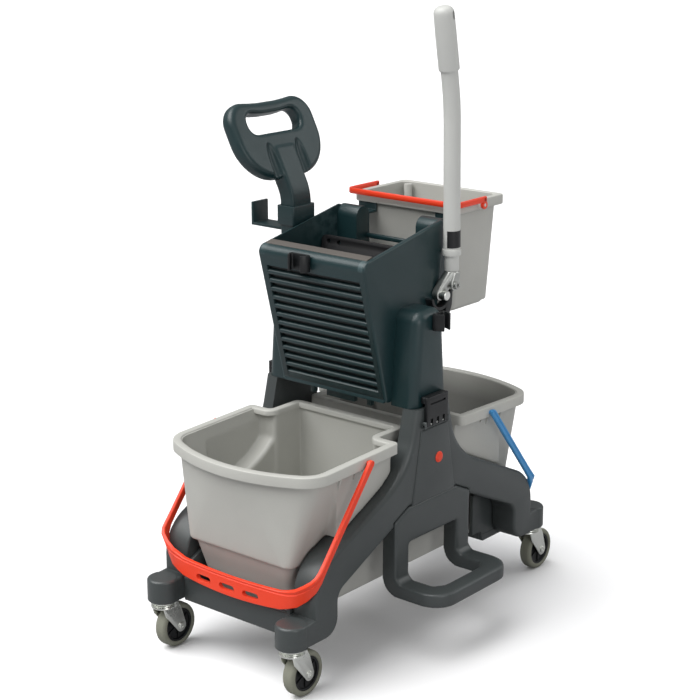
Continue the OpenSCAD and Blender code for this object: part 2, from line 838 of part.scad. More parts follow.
module pail() {
    color(bucket_colour) place() difference() {
        union() {
            pail_form(0, pail_foot, pail_z - 2);
            difference() {
                translate([-pail_x, pail_front, pail_z - pail_skirt]) cube([pail_w, pail_l, pail_skirt]);
                translate([pail_lip - pail_x, pail_front + pail_lip, pail_z - pail_skirt - cut])
                    cube([pail_w - 2 * pail_lip, pail_l - 2 * pail_lip, pail_skirt + cut - pail_lip]);
            }
        }
        pail_form(pail_wall, pail_foot + pail_wall, pail_z + 2);
    }
}

module pail_eyelets() {
    color("#d8d8d4") place() sides() {
        rod_x(pail_x, pail_x + 3, pail_mid, pail_pin_z, 8);
        rod_x(pail_x + 2, pail_arm_x + 2, pail_mid, pail_pin_z, pail_pin_r);
    }
}

module pail_bail() {
    arm = pail_mid - pail_front + bail_rod + 2;
    rise = pail_rod_z - pail_pin_z;
    color(red_colour) place() {
        sides() {
            difference() {
                union() {
                    rod_x(pail_arm_x - 3, pail_arm_x + 2, pail_mid, pail_pin_z, pail_pin_r + 4);
                    translate([pail_arm_x - 3, pail_mid - 4, pail_pin_z]) cube([5, 8, rise + bail_rod]);
                    translate([pail_arm_x - 3, pail_mid - arm, pail_rod_z - bail_rod])
                        cube([5, arm + 4, 2 * bail_rod]);
                }
                rod_x(pail_arm_x - 4, pail_arm_x + 3, pail_mid, pail_pin_z, pail_pin_r + shaft_gap);
            }
        }
        translate([-pail_arm_x - 2, pail_mid - arm - 4, pail_rod_z - bail_rod])
            cube([2 * pail_arm_x + 4, 5, 2 * bail_rod]);
    }
}

module pail_hanger() {
    shelf = pail_z - pail_skirt - hang_drop;
    post_back = post_y + post_l;
    color(press_colour) place() sides() {
        translate([post_in, post_back, shelf]) cube([hang_w, hang_y + hang_lip - post_back, hang_t]);
        translate([post_in, hang_y, shelf])
            cube([hang_w, hang_lip, hang_drop + pail_skirt - pail_lip - run_gap]);
    }
}

// Push handle

module rounded(x, y, r) {
    polygon(concat(arc(x / 2 - r, y / 2 - r, r, 0, 90, 6), arc(r - x / 2, y / 2 - r, r, 90, 180, 6),
        arc(r - x / 2, r - y / 2, r, 180, 270, 6), arc(x / 2 - r, r - y / 2, r, 270, 360, 6)));
}

module on_head() translate([0, 0, head_z]) rotate([0, -head_lean, 0]) children();

// Right half of the head's face: a broad belly below, which runs up into a tighter lobe
function head_half() = let (y = head_w / 2, top = head_foot + head_h)
    concat(arc(y - belly_r, head_foot + belly_r, belly_r, -90, 0),
        arc(y - lobe_r, top - lobe_r, lobe_r, 0, 90));

// Side view of the mast and its neck, up to the head's middle
module mast_form() {
    half = mast_t / 2;
    across = [cos(head_lean), sin(head_lean)];
    top = [0, head_z] + (head_foot + groove_h - 8) * [-sin(head_lean), cos(head_lean)];
    polygon(concat([[-half, shoulder_top], [half, shoulder_top]],
        arc(-neck_r, neck_z, neck_r + half, 0, head_lean), [top + half * across, top - half * across],
        arc(-neck_r, neck_z, neck_r - half, head_lean, 0)));
}

module push_handle() {
    color(press_colour) place() translate([mast_x, mast_y, 0]) {
        translate([0, mast_w / 2, 0]) rotate([90, 0, 0]) linear_extrude(mast_w) mast_form();
        on_head() difference() {
            along_x(-head_t / 2, head_t) polygon(concat(head_half(), flip(head_half())));
            along_x(-head_t, 2 * head_t) translate([0, head_foot + head_h - crown_bar - hole_h / 2])
                rounded(hole_w, hole_h, hole_r);
            for (y = [-groove_y, groove_y]) translate([head_t / 2 - groove_t, y - groove_w / 2, 0])
                cube([groove_t + cut, groove_w, head_foot + groove_h]);
        }
    }
}

module hook_collar() {
    side = mast_t / 2 + collar_wall;
    color(press_colour) place() translate([mast_x, mast_y, hook_z]) {
        difference() {
            translate([0, 0, hook_lift]) linear_extrude(hook_h - hook_lift)
                rounded(2 * side, mast_w + 2 * collar_wall, collar_wall);
            translate([-mast_t / 2 - shaft_gap, -mast_w / 2 - shaft_gap, -cut])
                cube([mast_t + 2 * shaft_gap, mast_w + 2 * shaft_gap, hook_h + 2 * hook_lift]);
        }
        translate([-hook_reach, -hook_w / 2, 0]) cube([hook_reach - side + 2, hook_w, hook_t]);
        translate([-side, -hook_w / 2, 0]) cube([collar_wall - cut, hook_w, hook_root]);
        translate([-hook_reach, -hook_w / 2, 0]) cube([hook_t, hook_w, tip_h]);
    }
}

// Foot loop

module foot_loop() {
    low = loop_z - tread_t;
    bend = loop_t + 3;
    color(frame_colour) place() {
        translate([loop_out - loop_t, 0, 0]) along_x(0, loop_t) {
            polygon([[-seat_y + run_gap, loop_top - band_h], [-seat_y + run_gap, loop_top],
                [-loop_in_y, under_line(loop_in_y) + loop_lap],
                [loop_in_y, under_line(loop_in_y) + loop_lap],
                [seat_y - run_gap, loop_top], [seat_y - run_gap, loop_top - band_h]]);
        }
        for (y = [-loop_y, loop_in_y])
            translate([0, y + loop_leg, 0]) rotate([90, 0, 0]) linear_extrude(loop_leg)
                polygon(concat([[loop_out - loop_t, loop_top - band_h]],
                    arc(loop_out - loop_t + bend, low + bend, bend, 180, 270),
                    [[tread_x - tread_r, low], [tread_x - tread_r, loop_z], [loop_out + 8, loop_z],
                     [loop_out, loop_z + 8], [loop_out, loop_top - band_h]]));
        translate([0, 0, low]) linear_extrude(tread_t) difference() {
            polygon(concat([[tread_x - tread_r, loop_y], [tread_x - tread_r, -loop_y]],
                arc(tread_x - tread_r, tread_r - loop_y, tread_r, -90, 0),
                arc(tread_x - tread_r, loop_y - tread_r, tread_r, 0, 90)));
            polygon(concat([[0, loop_in_y], [0, -loop_in_y]],
                arc(tread_x - tread_bar - 24, 24 - loop_in_y, 24, -90, 0),
                arc(tread_x - tread_bar - 24, loop_in_y - 24, 24, 0, 90)));
        }
    }
}

place() mirror([1, 0, 0]) side_frame();  // side_frame_left
place() side_frame();  // side_frame_right
place() cross_member();  // front_cross_member
place() mirror([0, 1, 0]) cross_member();  // rear_cross_member
side_caps();
place() bucket();  // front_bucket
place() rotate([0, 0, 180]) bucket();  // rear_bucket
place() bail(red_colour);  // front_bail
place() rotate([0, 0, 180]) bail(blue_colour);  // rear_bail
caster_at(-1, -1) race();  // race_front_left
caster_at(1, -1) race();  // race_front_right
caster_at(-1, 1) race();  // race_rear_left
caster_at(1, 1) race();  // race_rear_right
caster_at(-1, -1) fork();  // fork_front_left
caster_at(1, -1) fork();  // fork_front_right
caster_at(-1, 1) fork();  // fork_rear_left
caster_at(1, 1) fork();  // fork_rear_right
caster_at(-1, -1) axle();  // axle_front_left
caster_at(1, -1) axle();  // axle_front_right
caster_at(-1, 1) axle();  // axle_rear_left
caster_at(1, 1) axle();  // axle_rear_right
caster_at(-1, -1) hub();  // hub_front_left
caster_at(1, -1) hub();  // hub_front_right
caster_at(-1, 1) hub();  // hub_rear_left
caster_at(1, 1) hub();  // hub_rear_right
caster_at(-1, -1) tyre();  // tyre_front_left
caster_at(1, -1) tyre();  // tyre_front_right
caster_at(-1, 1) tyre();  // tyre_rear_left
caster_at(1, 1) tyre();  // tyre_rear_right
press_front();
press_lip();
place() mirror([1, 0, 0]) press_side(false);  // press_side_left
place() press_side(true);  // press_side_right
press_back();
press_base();
press_bar();
press_ram();
place() mirror([1, 0, 0]) shoulder();  // shoulder_left
place() shoulder();  // shoulder_right
place() mirror([1, 0, 0]) latch();  // latch_left
place() latch();  // latch_right
latch_pins();
front_tool_clip();
side_tool_clip();
lever_shaft();
lever_clevis();
lever_bolt();
lever_ferrule();
lever_collar();
lever_tube();
lever_label();
lever_grip();
pail();
pail_bail();
pail_eyelets();
pail_hanger();
push_handle();
hook_collar();
foot_loop();
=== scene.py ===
import math

import bmesh
import bpy
from mathutils import Matrix, Vector


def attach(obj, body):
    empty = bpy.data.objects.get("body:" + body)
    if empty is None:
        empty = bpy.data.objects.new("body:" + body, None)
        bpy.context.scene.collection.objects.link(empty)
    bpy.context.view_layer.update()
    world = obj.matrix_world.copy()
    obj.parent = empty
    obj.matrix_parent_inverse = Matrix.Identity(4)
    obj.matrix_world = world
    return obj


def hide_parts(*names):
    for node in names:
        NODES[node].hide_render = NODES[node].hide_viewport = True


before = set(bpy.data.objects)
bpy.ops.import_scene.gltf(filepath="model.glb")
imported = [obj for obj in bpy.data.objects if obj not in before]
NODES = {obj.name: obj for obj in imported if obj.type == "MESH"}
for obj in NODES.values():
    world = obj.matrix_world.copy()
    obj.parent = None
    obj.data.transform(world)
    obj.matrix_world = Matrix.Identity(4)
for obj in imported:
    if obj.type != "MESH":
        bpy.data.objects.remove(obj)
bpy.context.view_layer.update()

# A double mop bucket trolley. Lengths are millimetres in the trolley's own layout: the press is
# over the middle, the front bucket is towards -Y and the lever is on the +X side. at() puts a
# point into the frame and in_mm() brings it back.
MM = 0.001
X_MID, Y_MID = 19.7, 18.25
X_WAY, Z_WAY = Vector((1, 0, 0)), Vector((0, 0, 1))
SIDES = (-1, 1)


def at(x, y, z):
    return Vector(((x - X_MID) * MM, (y - Y_MID) * MM, z * MM))


def in_mm(p):
    return Vector((p.x / MM + X_MID, p.y / MM + Y_MID, p.z / MM))


def way(x, y, z):
    return Vector((x, y, z)) * MM


def arc(u, v, r, a, b, n):
    """Points of an arc from angle a to angle b, in n steps."""
    steps = [math.radians(a + (b - a) * i / n) for i in range(n + 1)]
    return [(u + r * math.cos(s), v + r * math.sin(s)) for s in steps]


def both(half):
    """Half an outline and its mirror image, as one whole outline."""
    return half + [(-u, v) for u, v in reversed(half)]


def ramp(value, low, high):
    """Where a value stands between two others, from 0 to 1."""
    return min(1, max(0, (value - low) / (high - low)))


# ------------ hand tools

SAME = 1e-6  # points closer than this, in metres, are one


def clear():
    if bpy.context.object and bpy.context.object.mode != "OBJECT":
        bpy.ops.object.mode_set(mode="OBJECT")
    bpy.ops.object.select_all(action="DESELECT")


def take(ob, *others):
    clear()
    for o in (*others, ob):
        o.select_set(True)
    bpy.context.view_layer.objects.active = ob


def edit(ob, kind="VERT"):
    """Opens a piece in edit mode with all of it selected."""
    take(ob)
    bpy.ops.object.mode_set(mode="EDIT")
    bpy.ops.mesh.select_mode(type=kind)
    bpy.ops.mesh.select_all(action="SELECT")


def leave():
    bpy.ops.object.mode_set(mode="OBJECT")


def named(name):
    ob = bpy.context.object
    ob.name = ob.data.name = name
    bpy.ops.object.transform_apply(location=True, rotation=True, scale=True)
    return ob


def pick(ob, test, kind="EDGE"):
    """Selects the edges or points of a piece in edit mode that pass a test, and counts them."""
    bpy.ops.mesh.select_mode(type=kind)
    bpy.ops.mesh.select_all(action="DESELECT")
    bm = bmesh.from_edit_mesh(ob.data)
    found = [part for part in (bm.edges if kind == "EDGE" else bm.verts) if test(part)]
    for part in found:
        part.select_set(True)
    bmesh.update_edit_mesh(ob.data)
    return len(found)


def outward(ob, merge=SAME):
    """Merges doubled points and turns all faces outwards."""
    edit(ob)
    bpy.ops.mesh.remove_doubles(threshold=merge)
    bpy.ops.mesh.normals_make_consistent(inside=False)
    if bmesh.from_edit_mesh(ob.data).calc_volume(signed=True) < 0:
        bpy.ops.mesh.flip_normals()
    leave()
    return ob


def outline(name, points, fill=True):
    """A line drawn from point to point by pulling one vertex along, and filled to a face."""
    clear()
    bpy.ops.mesh.primitive_plane_add(size=MM, location=points[0])
    ob = named(name)
    edit(ob)
    bpy.ops.mesh.merge(type="CENTER")
    for a, b in zip(points, points[1:]):
        bpy.ops.mesh.extrude_vertices_move(TRANSFORM_OT_translate={"value": b - a})
    bpy.ops.mesh.select_all(action="SELECT")
    if fill:
        bpy.ops.mesh.edge_face_add()
    leave()
    return ob


def plate(name, points, step):
    """An outline given a body by pulling its face along a step."""
    ob = outline(name, points)
    edit(ob, "FACE")
    bpy.ops.mesh.extrude_region_move(TRANSFORM_OT_translate={"value": step})
    leave()
    return outward(ob)


def side_plate(name, points, x0, x1):
    """A plate whose outline is given as (y, z), from x0 to x1."""
    return plate(name, [at(x0, y, z) for y, z in points], way(x1 - x0, 0, 0))


def block(name, lo, hi):
    clear()
    a, b = at(*lo), at(*hi)
    bpy.ops.mesh.primitive_cube_add(size=1, location=(a + b) / 2)
    bpy.context.object.scale = b - a
    return outward(named(name))


def rod(name, a, b, r, sides=32):
    clear()
    d = b - a
    bpy.ops.mesh.primitive_cylinder_add(vertices=sides, radius=r * MM, depth=d.length,
                                        location=(a + b) / 2,
                                        rotation=d.to_track_quat("Z", "Y").to_euler())
    return named(name)


def rod_x(name, x0, x1, y, z, r, sides=32):
    return rod(name, at(x0, y, z), at(x1, y, z), r, sides)


def turned(name, points, centre, axis, steps):
    """A turned piece: a line in a plane through the axis, spun once round it."""
    ob = outline(name, points, fill=False)
    edit(ob)
    bpy.ops.mesh.spin(steps=steps, angle=2 * math.pi, center=centre, axis=axis)
    leave()
    return outward(ob, 2 * SAME)


def turned_x(name, line, y, z, steps=48):
    """A piece turned round a line along X, from points given as (radius, x)."""
    return turned(name, [at(x, y, z + r) for r, x in line], at(0, y, z), X_WAY, steps)


def turned_z(name, line, x=0, y=0, steps=48):
    """A piece turned round an upright line, from points given as (radius, z)."""
    return turned(name, [at(x + r, y, z) for r, z in line], at(x, y, 0), Z_WAY, steps)


def loft(name, rings, loop=False):
    """A skin over a run of rings: the first is drawn, then pulled out from ring to ring."""
    count = len(rings[0])
    ob = outline(name, rings[0] + [rings[0][0]], fill=False)
    edit(ob)
    bpy.ops.mesh.remove_doubles(threshold=5 * SAME)
    bm = bmesh.from_edit_mesh(ob.data)
    order = [min(bm.verts, key=lambda v: (v.co - p).length_squared) for p in rings[0]]
    if len(set(order)) != count:
        raise ValueError(name + " has doubled points in its first ring")
    first = {tuple(v.co) for v in order}
    for ring in list(rings[1:]) + ([rings[0]] if loop else []):
        spots = {tuple(v.co): i for i, v in enumerate(order)}
        bpy.ops.mesh.extrude_edges_move()
        bm = bmesh.from_edit_mesh(ob.data)
        order = [None] * count
        for v in bm.verts:
            if v.select:
                order[spots[tuple(v.co)]] = v
        for v, p in zip(order, ring):
            v.co = p
        bmesh.update_edit_mesh(ob.data)
    if not loop:
        bpy.ops.mesh.edge_face_add()
        pick(ob, lambda v: tuple(v.co) in first, "VERT")
        bpy.ops.mesh.edge_face_add()
    leave()
    return outward(ob, 0.1 * SAME)


def hulled(name, *rings):
    """The tight skin over some rings."""
    body = outline(name, rings[0], fill=False)
    for ring in rings[1:]:
        join(body, outline("ring", ring, fill=False))
    edit(body)
    bpy.ops.mesh.convex_hull()
    leave()
    return outward(body)


def apply(ob, kind, **values):
    mod = ob.modifiers.new("work", kind)
    for key, value in values.items():
        setattr(mod, key, value)
    take(ob)
    bpy.ops.object.modifier_apply(modifier=mod.name)
    return ob


def carve(ob, *tools, how="DIFFERENCE"):
    for tool in tools:
        apply(ob, "BOOLEAN", operation=how, object=tool, solver="EXACT")
        bpy.data.objects.remove(tool)
    return ob


def weld(ob, *others):
    return carve(ob, *others, how="UNION")


def join(ob, *others):
    take(ob, *others)
    bpy.ops.object.join()
    return ob


def mould(ob, voxel, smooth):
    """Turns a blocked-out body into one soft moulded skin."""
    apply(ob, "REMESH", mode="VOXEL", voxel_size=voxel * MM, use_smooth_shade=True)
    return apply(ob, "SMOOTH", iterations=smooth, factor=0.5)


def angled(e, least=30):
    return len(e.link_faces) == 2 and e.calc_face_angle(0) > math.radians(least)


def sharp(e):
    return angled(e, 60)


def middle(e):
    """The middle of an edge, in the trolley's millimetres."""
    return in_mm((e.verts[0].co + e.verts[1].co) / 2)


def run(e):
    return (e.verts[1].co - e.verts[0].co).normalized()


def along_x(e):
    return angled(e) and abs(run(e).x) > 0.9


def on_face(e, x, least=30):
    """Whether an edge lies on the plane that far out to a side."""
    return angled(e, least) and abs(abs(middle(e).x) - x) < 0.1


def round_edges(ob, width, test=angled, segments=3):
    edit(ob, "EDGE")
    if pick(ob, test):
        bpy.ops.mesh.bevel(offset=width * MM, segments=segments, affect="EDGES", clamp_overlap=True)
    leave()
    return outward(ob)


def soften(ob, width, share, segments):
    """Rounds edges by a width that can change: share gives each edge its part of it."""
    bm = bmesh.new()
    bm.from_mesh(ob.data)
    layer = bm.edges.layers.float.new("bevel_weight_edge")
    for e in bm.edges:
        e[layer] = float(share(e))
    bm.to_mesh(ob.data)
    bm.free()
    apply(ob, "BEVEL", limit_method="WEIGHT", width=width * MM, segments=segments)
    return outward(ob)


def link(name, data):
    ob = bpy.data.objects.new(name, data)
    bpy.context.scene.collection.objects.link(ob)
    return ob


def cad_copy(node, flat=4):
    """A merged copy of a CAD node's mesh, with the flat triangles dissolved to clean faces."""
    ob = link(node + "_dressed", NODES[node].data.copy())
    edit(ob)
    bpy.ops.mesh.remove_doubles(threshold=SAME)
    bpy.ops.mesh.dissolve_limited(angle_limit=math.radians(flat))
    leave()
    return ob


def about(point, turn):
    return Matrix.Translation(point) @ turn @ Matrix.Translation(-point)


ORIGIN = at(0, 0, 0)
MIRROR_X = about(ORIGIN, Matrix.Scale(-1, 4, X_WAY))
HALF_TURN = about(ORIGIN, Matrix.Rotation(math.pi, 4, "Z"))


def twin(ob, name, matrix):
    """A copy with its own mesh, moved, turned or mirrored into its place."""
    new = link(name, ob.data.copy())
    new.data.transform(matrix)
    if matrix.determinant() < 0:
        new.data.flip_normals()
    return new


def with_mirror(ob):
    """A piece joined with its mirror image on the left."""
    return join(ob, twin(ob, ob.name + "_left", MIRROR_X))


# ------------ fitting

LONG_EDGE, RISE_GAIN = 0.014, 2.5  # edges of plain faces, in metres, carry no wear


def mark_edges(ob):
    """Notes how far each point stands out from its neighbours, for wear along edges."""
    bm = bmesh.new()
    bm.from_mesh(ob.data)
    layer = bm.verts.layers.float.new("edge")
    for v in bm.verts:
        ways = [v.co - e.other_vert(v).co for e in v.link_edges]
        if ways and max(e.calc_length() for e in v.link_edges) < LONG_EDGE:
            rise = sum(w.normalized().dot(v.normal) for w in ways)
            v[layer] = ramp(RISE_GAIN * rise / len(ways), 0, 1)
    bm.to_mesh(ob.data)
    bm.free()


def shade_depth(ob, depth):
    """Notes how much painted shade each point gets, from how deep it lies in a slot or a corner."""
    layer = ob.data.attributes.new("painted_shade", "FLOAT", "POINT")
    for v, mark in zip(ob.data.vertices, layer.data):
        mark.value = depth(in_mm(v.co), v.normal)


def fit(ob, body, finish, *nodes, smooth=38):
    """Gives a piece its finish and rides it on its body, in place of its nodes."""
    material, slot = finish
    take(ob)
    bpy.ops.object.shade_smooth_by_angle(angle=math.radians(smooth))
    ob.data.materials.clear()
    ob.data.materials.append(material)
    mark_edges(ob)
    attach(ob, body)
    if nodes:
        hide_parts(*nodes)


def fit_pair(node, right, finish, own_body=False):
    """Fits a right-hand piece and its mirror image, each in place of its node."""
    right.name = node + "_right_dressed"
    left = twin(right, node + "_left_dressed", MIRROR_X)
    for ob, side in ((right, "_right"), (left, "_left")):
        fit(ob, node + side if own_body else "chassis", finish, node + side)


def dress(node, finish, width=0, test=sharp, segments=2, body="chassis", flat=4):
    """Fits a piece that is its CAD node with some edges rounded."""
    ob = cad_copy(node, flat)
    if width:
        round_edges(ob, width, test, segments)
    fit(ob, body, finish, node)


# ------------ finishes

SCUFFS, BUMP_DEPTH, COAT_ROUGHNESS = 0.3, 0.0006, 0.22
# Colour and strength of the painted shade laid into slots, corners and the rear bucket's inside
PAINTED_SHADE_COLOUR, PAINTED_SHADE_SHARE = (0.002, 0.003, 0.003, 1), 0.85


def preset(node, values):
    for key, value in values.items():
        node.inputs[key].default_value = value
    return node


def grain_group():
    """Moulded plastic: a drifting tone, worn edges, fine grain, faint scuffs and painted shade
    where points are marked for it.
    """
    g = bpy.data.node_groups.new("moulded_grain", "ShaderNodeTree")
    inputs = ("Colour", "Worn", "Grain size", "Tone drift", "Wear", "Gloss")
    outputs = ("Colour", "Roughness", "Height")
    for way_in, names in (("INPUT", inputs), ("OUTPUT", outputs)):
        for name in names:
            kind = "NodeSocketColor" if name in ("Colour", "Worn") else "NodeSocketFloat"
            g.interface.new_socket(name=name, in_out=way_in, socket_type=kind)
    n, l = g.nodes, g.links
    given, result = n.new("NodeGroupInput").outputs, n.new("NodeGroupOutput").inputs
    place = n.new("ShaderNodeTexCoord").outputs["Object"]

    def feed(value, inlet):
        if isinstance(value, (float, tuple)):
            inlet.default_value = value
        else:
            l.new(value, inlet)

    def noise(scale, detail, rough=0.5, where=place):
        t = preset(n.new("ShaderNodeTexNoise"), {"Detail": detail, "Roughness": rough})
        feed(scale, t.inputs["Scale"])
        l.new(where, t.inputs["Vector"])
        return t.outputs["Fac"]

    def combined(op, a, b):
        m = n.new("ShaderNodeMath")
        m.operation = op
        feed(a, m.inputs[0])
        feed(b, m.inputs[1])
        return m.outputs[0]

    def times(a, b):
        return combined("MULTIPLY", a, b)

    def plus(a, b):
        return combined("ADD", a, b)

    def band(value, low, high):
        m = preset(n.new("ShaderNodeMapRange"), {"From Min": low, "From Max": high})
        m.interpolation_type = "SMOOTHSTEP"
        l.new(value, m.inputs["Value"])
        return m.outputs["Result"]

    def mixed(share, a, b):
        m = n.new("ShaderNodeMix")
        m.data_type = "RGBA"
        l.new(share, m.inputs["Factor"])
        l.new(a, m.inputs["A"])
        feed(b, m.inputs["B"])
        return m.outputs["Result"]

    def noted(name):
        a = n.new("ShaderNodeAttribute")
        a.attribute_name = name
        return a.outputs["Fac"]

    cloud = noise(9.0, 3.0)
    blotch = band(cloud, 0.3, 0.75)
    stretch = preset(n.new("ShaderNodeMapping"), {"Scale": (60, 60, 900)})
    l.new(place, stretch.inputs["Vector"])
    streak = noise(1.0, 4.0, where=stretch.outputs[0])
    grain = noise(given["Grain size"], 2.0, 0.6)
    chips = band(noise(70.0, 5.0, 0.65), 0.38, 0.62)
    worn = times(times(band(noted("edge"), 0.12, 0.75), chips), given["Wear"])
    scuff = times(times(band(streak, 0.62, 0.78), band(cloud, 0.45, 0.7)), SCUFFS)
    shade = preset(n.new("ShaderNodeHueSaturation"), {"Value": 0.62})
    l.new(given["Colour"], shade.inputs["Color"])
    dark = shade.outputs[0]
    speck = times(band(grain, 0.35, 0.7), times(given["Tone drift"], 0.6))
    tone = mixed(times(blotch, given["Tone drift"]), given["Colour"], dark)
    tone = mixed(speck, tone, dark)
    tone = mixed(combined("MAXIMUM", worn, times(scuff, 0.35)), tone, given["Worn"])
    # Painted shade: darkens the colour where the points are marked for it
    tone = mixed(times(noted("painted_shade"), PAINTED_SHADE_SHARE), tone, PAINTED_SHADE_COLOUR)
    rough = plus(given["Gloss"], times(blotch, 0.08))
    rough = plus(plus(rough, times(scuff, 0.18)), times(grain, 0.1))
    l.new(tone, result["Colour"])
    l.new(rough, result["Roughness"])
    l.new(plus(grain, times(cloud, 0.6)), result["Height"])
    return g


GRAIN = grain_group()


def linear(code):
    vals = [int(code[i:i + 2], 16) / 255 for i in (1, 3, 5)]
    vals = [v / 12.92 if v <= 0.04045 else ((v + 0.055) / 1.055) ** 2.4 for v in vals]
    return (*vals, 1.0)


def plastic(name, colour, worn, gloss, grain, bump, drift=0.3, wear=0.3, metallic=0.0, coat=0.0,
            slot=None):
    """A finish: a material, and the record's slot, which has the same name unless given."""
    mat = bpy.data.materials.new(name)
    mat.use_nodes = True
    n, l = mat.node_tree.nodes, mat.node_tree.links
    g = n.new("ShaderNodeGroup")
    g.node_tree = GRAIN
    preset(g, {"Colour": linear(colour), "Worn": linear(worn), "Grain size": grain,
               "Tone drift": drift, "Wear": wear, "Gloss": gloss})
    b = preset(n.new("ShaderNodeBump"), {"Strength": bump, "Distance": BUMP_DEPTH})
    shader = preset(n["Principled BSDF"], {"Metallic": metallic, "Coat Weight": coat,
                                           "Coat Roughness": COAT_ROUGHNESS})
    l.new(g.outputs["Colour"], shader.inputs["Base Color"])
    l.new(g.outputs["Roughness"], shader.inputs["Roughness"])
    l.new(g.outputs["Height"], b.inputs["Height"])
    l.new(b.outputs[0], shader.inputs["Normal"])
    return mat, slot or name


# Name, colour, colour of worn edges, gloss, grain size, bump, tone drift and wear
CHASSIS = plastic("chassis_plastic", "#414646", "#6a7073", 0.29, 1100.0, 0.1, wear=0.35)
PRESS = plastic("press_plastic", "#122f32", "#5c7073", 0.32, 760.0, 0.32, 0.35, 0.4, coat=0.15)
BUCKET = plastic("bucket_plastic", "#b9b9b3", "#cfcfca", 0.4, 1000.0, 0.07, 0.16)
RED = plastic("red_plastic", "#f2401d", "#f0735a", 0.34, 1200.0, 0.06, 0.12, 0.25)
BLUE = plastic("blue_plastic", "#3f92ce", "#7aa6cc", 0.34, 1200.0, 0.06, 0.12, 0.25)
PALE = plastic("pale_plastic", "#d6d6d1", "#eeeeea", 0.4, 1200.0, 0.05, 0.1, 0.2)
LIP = plastic("lip_plastic", "#59544f", "#7d766f", 0.6, 520.0, 0.3, 0.5)
BLACK = plastic("black_plastic", "#0d1012", "#3c4346", 0.32, 900.0, 0.12, wear=0.35)
RAM = plastic("ram_plastic", "#161618", "#3f3e41", 0.44, 700.0, 0.2, wear=0.4, slot="black_plastic")
ZINC = plastic("zinc", "#eceee8", "#f6f7f4", 0.22, 500.0, 0.08, 0.25, metallic=1.0)
# A darker copy of the zinc finish for the clevis and bolt: painted shade for the dark surroundings
# they reflect
ZINC_SHADED = plastic("zinc_shaded", "#c0c2be", "#c9cbc8", 0.26, 420.0, 0.1, 0.5, 0.2, metallic=1.0,
                slot="zinc")
LEVER = plastic("lever_grey", "#cacbc7", "#dedfdb", 0.36, 900.0, 0.06, 0.12, 0.25)
TYRE = plastic("tyre_rubber", "#87887a", "#a2a397", 0.62, 650.0, 0.2)

# ------------ chassis

LEG_IN, LEG_OUT, LEG_END = 115, 165, 297
FOOT_Z, FOOT_TOP, FOOT_DIP = 89.3, 129.3, 2
AXLE_X, AXLE_Y, BOSS_R, BOSS_ROUND = 140, 327, 26, 5
PILLAR_H, PILLAR_Y = 405, 46
# Bends of a leg's outline, as y, z and radius, and the step under the pillar
HIP, KNEE = (173.374, 390.157, 120), (222, 152.3, 75)
HEEL, ARCH = (273, 119.3, 30), (218, 141.36, 25)
UNDER_STEP = [(102.3, 222.9), (102.3, 229.9), (65, 247.3)]
# The outer edge's rounding grows between two heights
LEG_ROUND, LOW_SHARE, ROUND_FROM, ROUND_TO = 14, 0.43, 262, 332
PAD, PAD_IN, PAD_OUT = [(36, 369), (41, 340), (48, 300), (58, 246)], 160, 167
NECK_ROOM = (100, -85, 328), (136, 85, 450)


def leg_top():
    return [(PILLAR_Y, PILLAR_H)] + arc(*HIP, 194, 245, 20) + arc(*KNEE, 65, 0, 16)


def leg_under():
    return arc(*HEEL, 270, 180, 8) + arc(*ARCH, 0, 65, 8) + UNDER_STEP


def caster_boss(s):
    r, top = BOSS_ROUND, FOOT_TOP
    line = [(0, FOOT_Z), (BOSS_R - 2, FOOT_Z), (BOSS_R, FOOT_Z + 2), (BOSS_R, top - r)]
    line += arc(BOSS_R - r, top - r, r, 10, 90, 5) + [(BOSS_R - 10, top - 0.6), (0, top - 1.2)]
    return turned_z("boss", line, AXLE_X, s * AXLE_Y)


def latch_ear(s):
    y, t, out, low, top = s * 30.8, 2.5, 172.3, 372, 384
    return round_edges(block("ear", (PAD_IN, y - t, low), (out, y + t, top)), 1.5)


def side_frame():
    foot = [(LEG_END, FOOT_TOP), (AXLE_Y, FOOT_TOP - FOOT_DIP), (AXLE_Y, FOOT_Z)]
    body = side_plate("side_frame", both(leg_top() + foot + leg_under()), LEG_IN, LEG_OUT)

    def rim(e, face):
        c = middle(e)
        return on_face(e, face) and abs(c.y) < AXLE_Y - 1 and c.z < PILLAR_H - 1

    def outer(e):
        grown = (1 - LOW_SHARE) * ramp(middle(e).z, ROUND_FROM, ROUND_TO)
        return rim(e, LEG_OUT) * (LOW_SHARE + grown)

    soften(body, LEG_ROUND, outer, 5)
    round_edges(body, 4, lambda e: rim(e, LEG_IN))
    for s in SIDES:
        weld(body, caster_boss(s), latch_ear(s))
    pad = side_plate("pad", both(PAD), PAD_IN, PAD_OUT)
    weld(body, round_edges(pad, 2.4, lambda e: on_face(e, PAD_OUT)))
    return carve(body, block("neck_room", *NECK_ROOM))


fit_pair("side_frame", side_frame(), CHASSIS)

# Each cross member turns up inside the legs, which closes the view past the bucket's foot
SKIRT = [(186, 106), (213, 104), (215, 88), (302, 88), (302, 150), (240, 180), (186, 180)]
SKIRT_IN, SKIRT_OUT = 107, 114.6
for end, toward in (("front", -1), ("rear", 1)):
    member = cad_copy(end + "_cross_member")
    round_edges(member, 3, along_x)
    for s in SIDES:
        line = [(toward * y, z) for y, z in SKIRT]
        skirt = side_plate("skirt", line, s * SKIRT_IN, s * SKIRT_OUT)
        join(member, round_edges(skirt, 1.2, segments=2))
    fit(member, "chassis", CHASSIS, end + "_cross_member")

foot_loop = mould(cad_copy("foot_loop", flat=1), 2.6, 9)
fit(foot_loop, "chassis", CHASSIS, "foot_loop", smooth=60)

CAP_X, CAP_Y, CAP_Z, CAP_R = 167, 11.5, 313.5, 9.5
cap_line = ((0, 2.6), (CAP_R - 3, 2.4), (CAP_R - 1, 1.7), (CAP_R, 0.5), (CAP_R, -2), (0, -2))
cap_line = [(r, CAP_X + x) for r, x in cap_line]
caps = with_mirror(turned_x("side_caps_dressed", cap_line, CAP_Y, CAP_Z, 32))
fit(caps, "chassis", RED, "side_caps")

# ------------ buckets

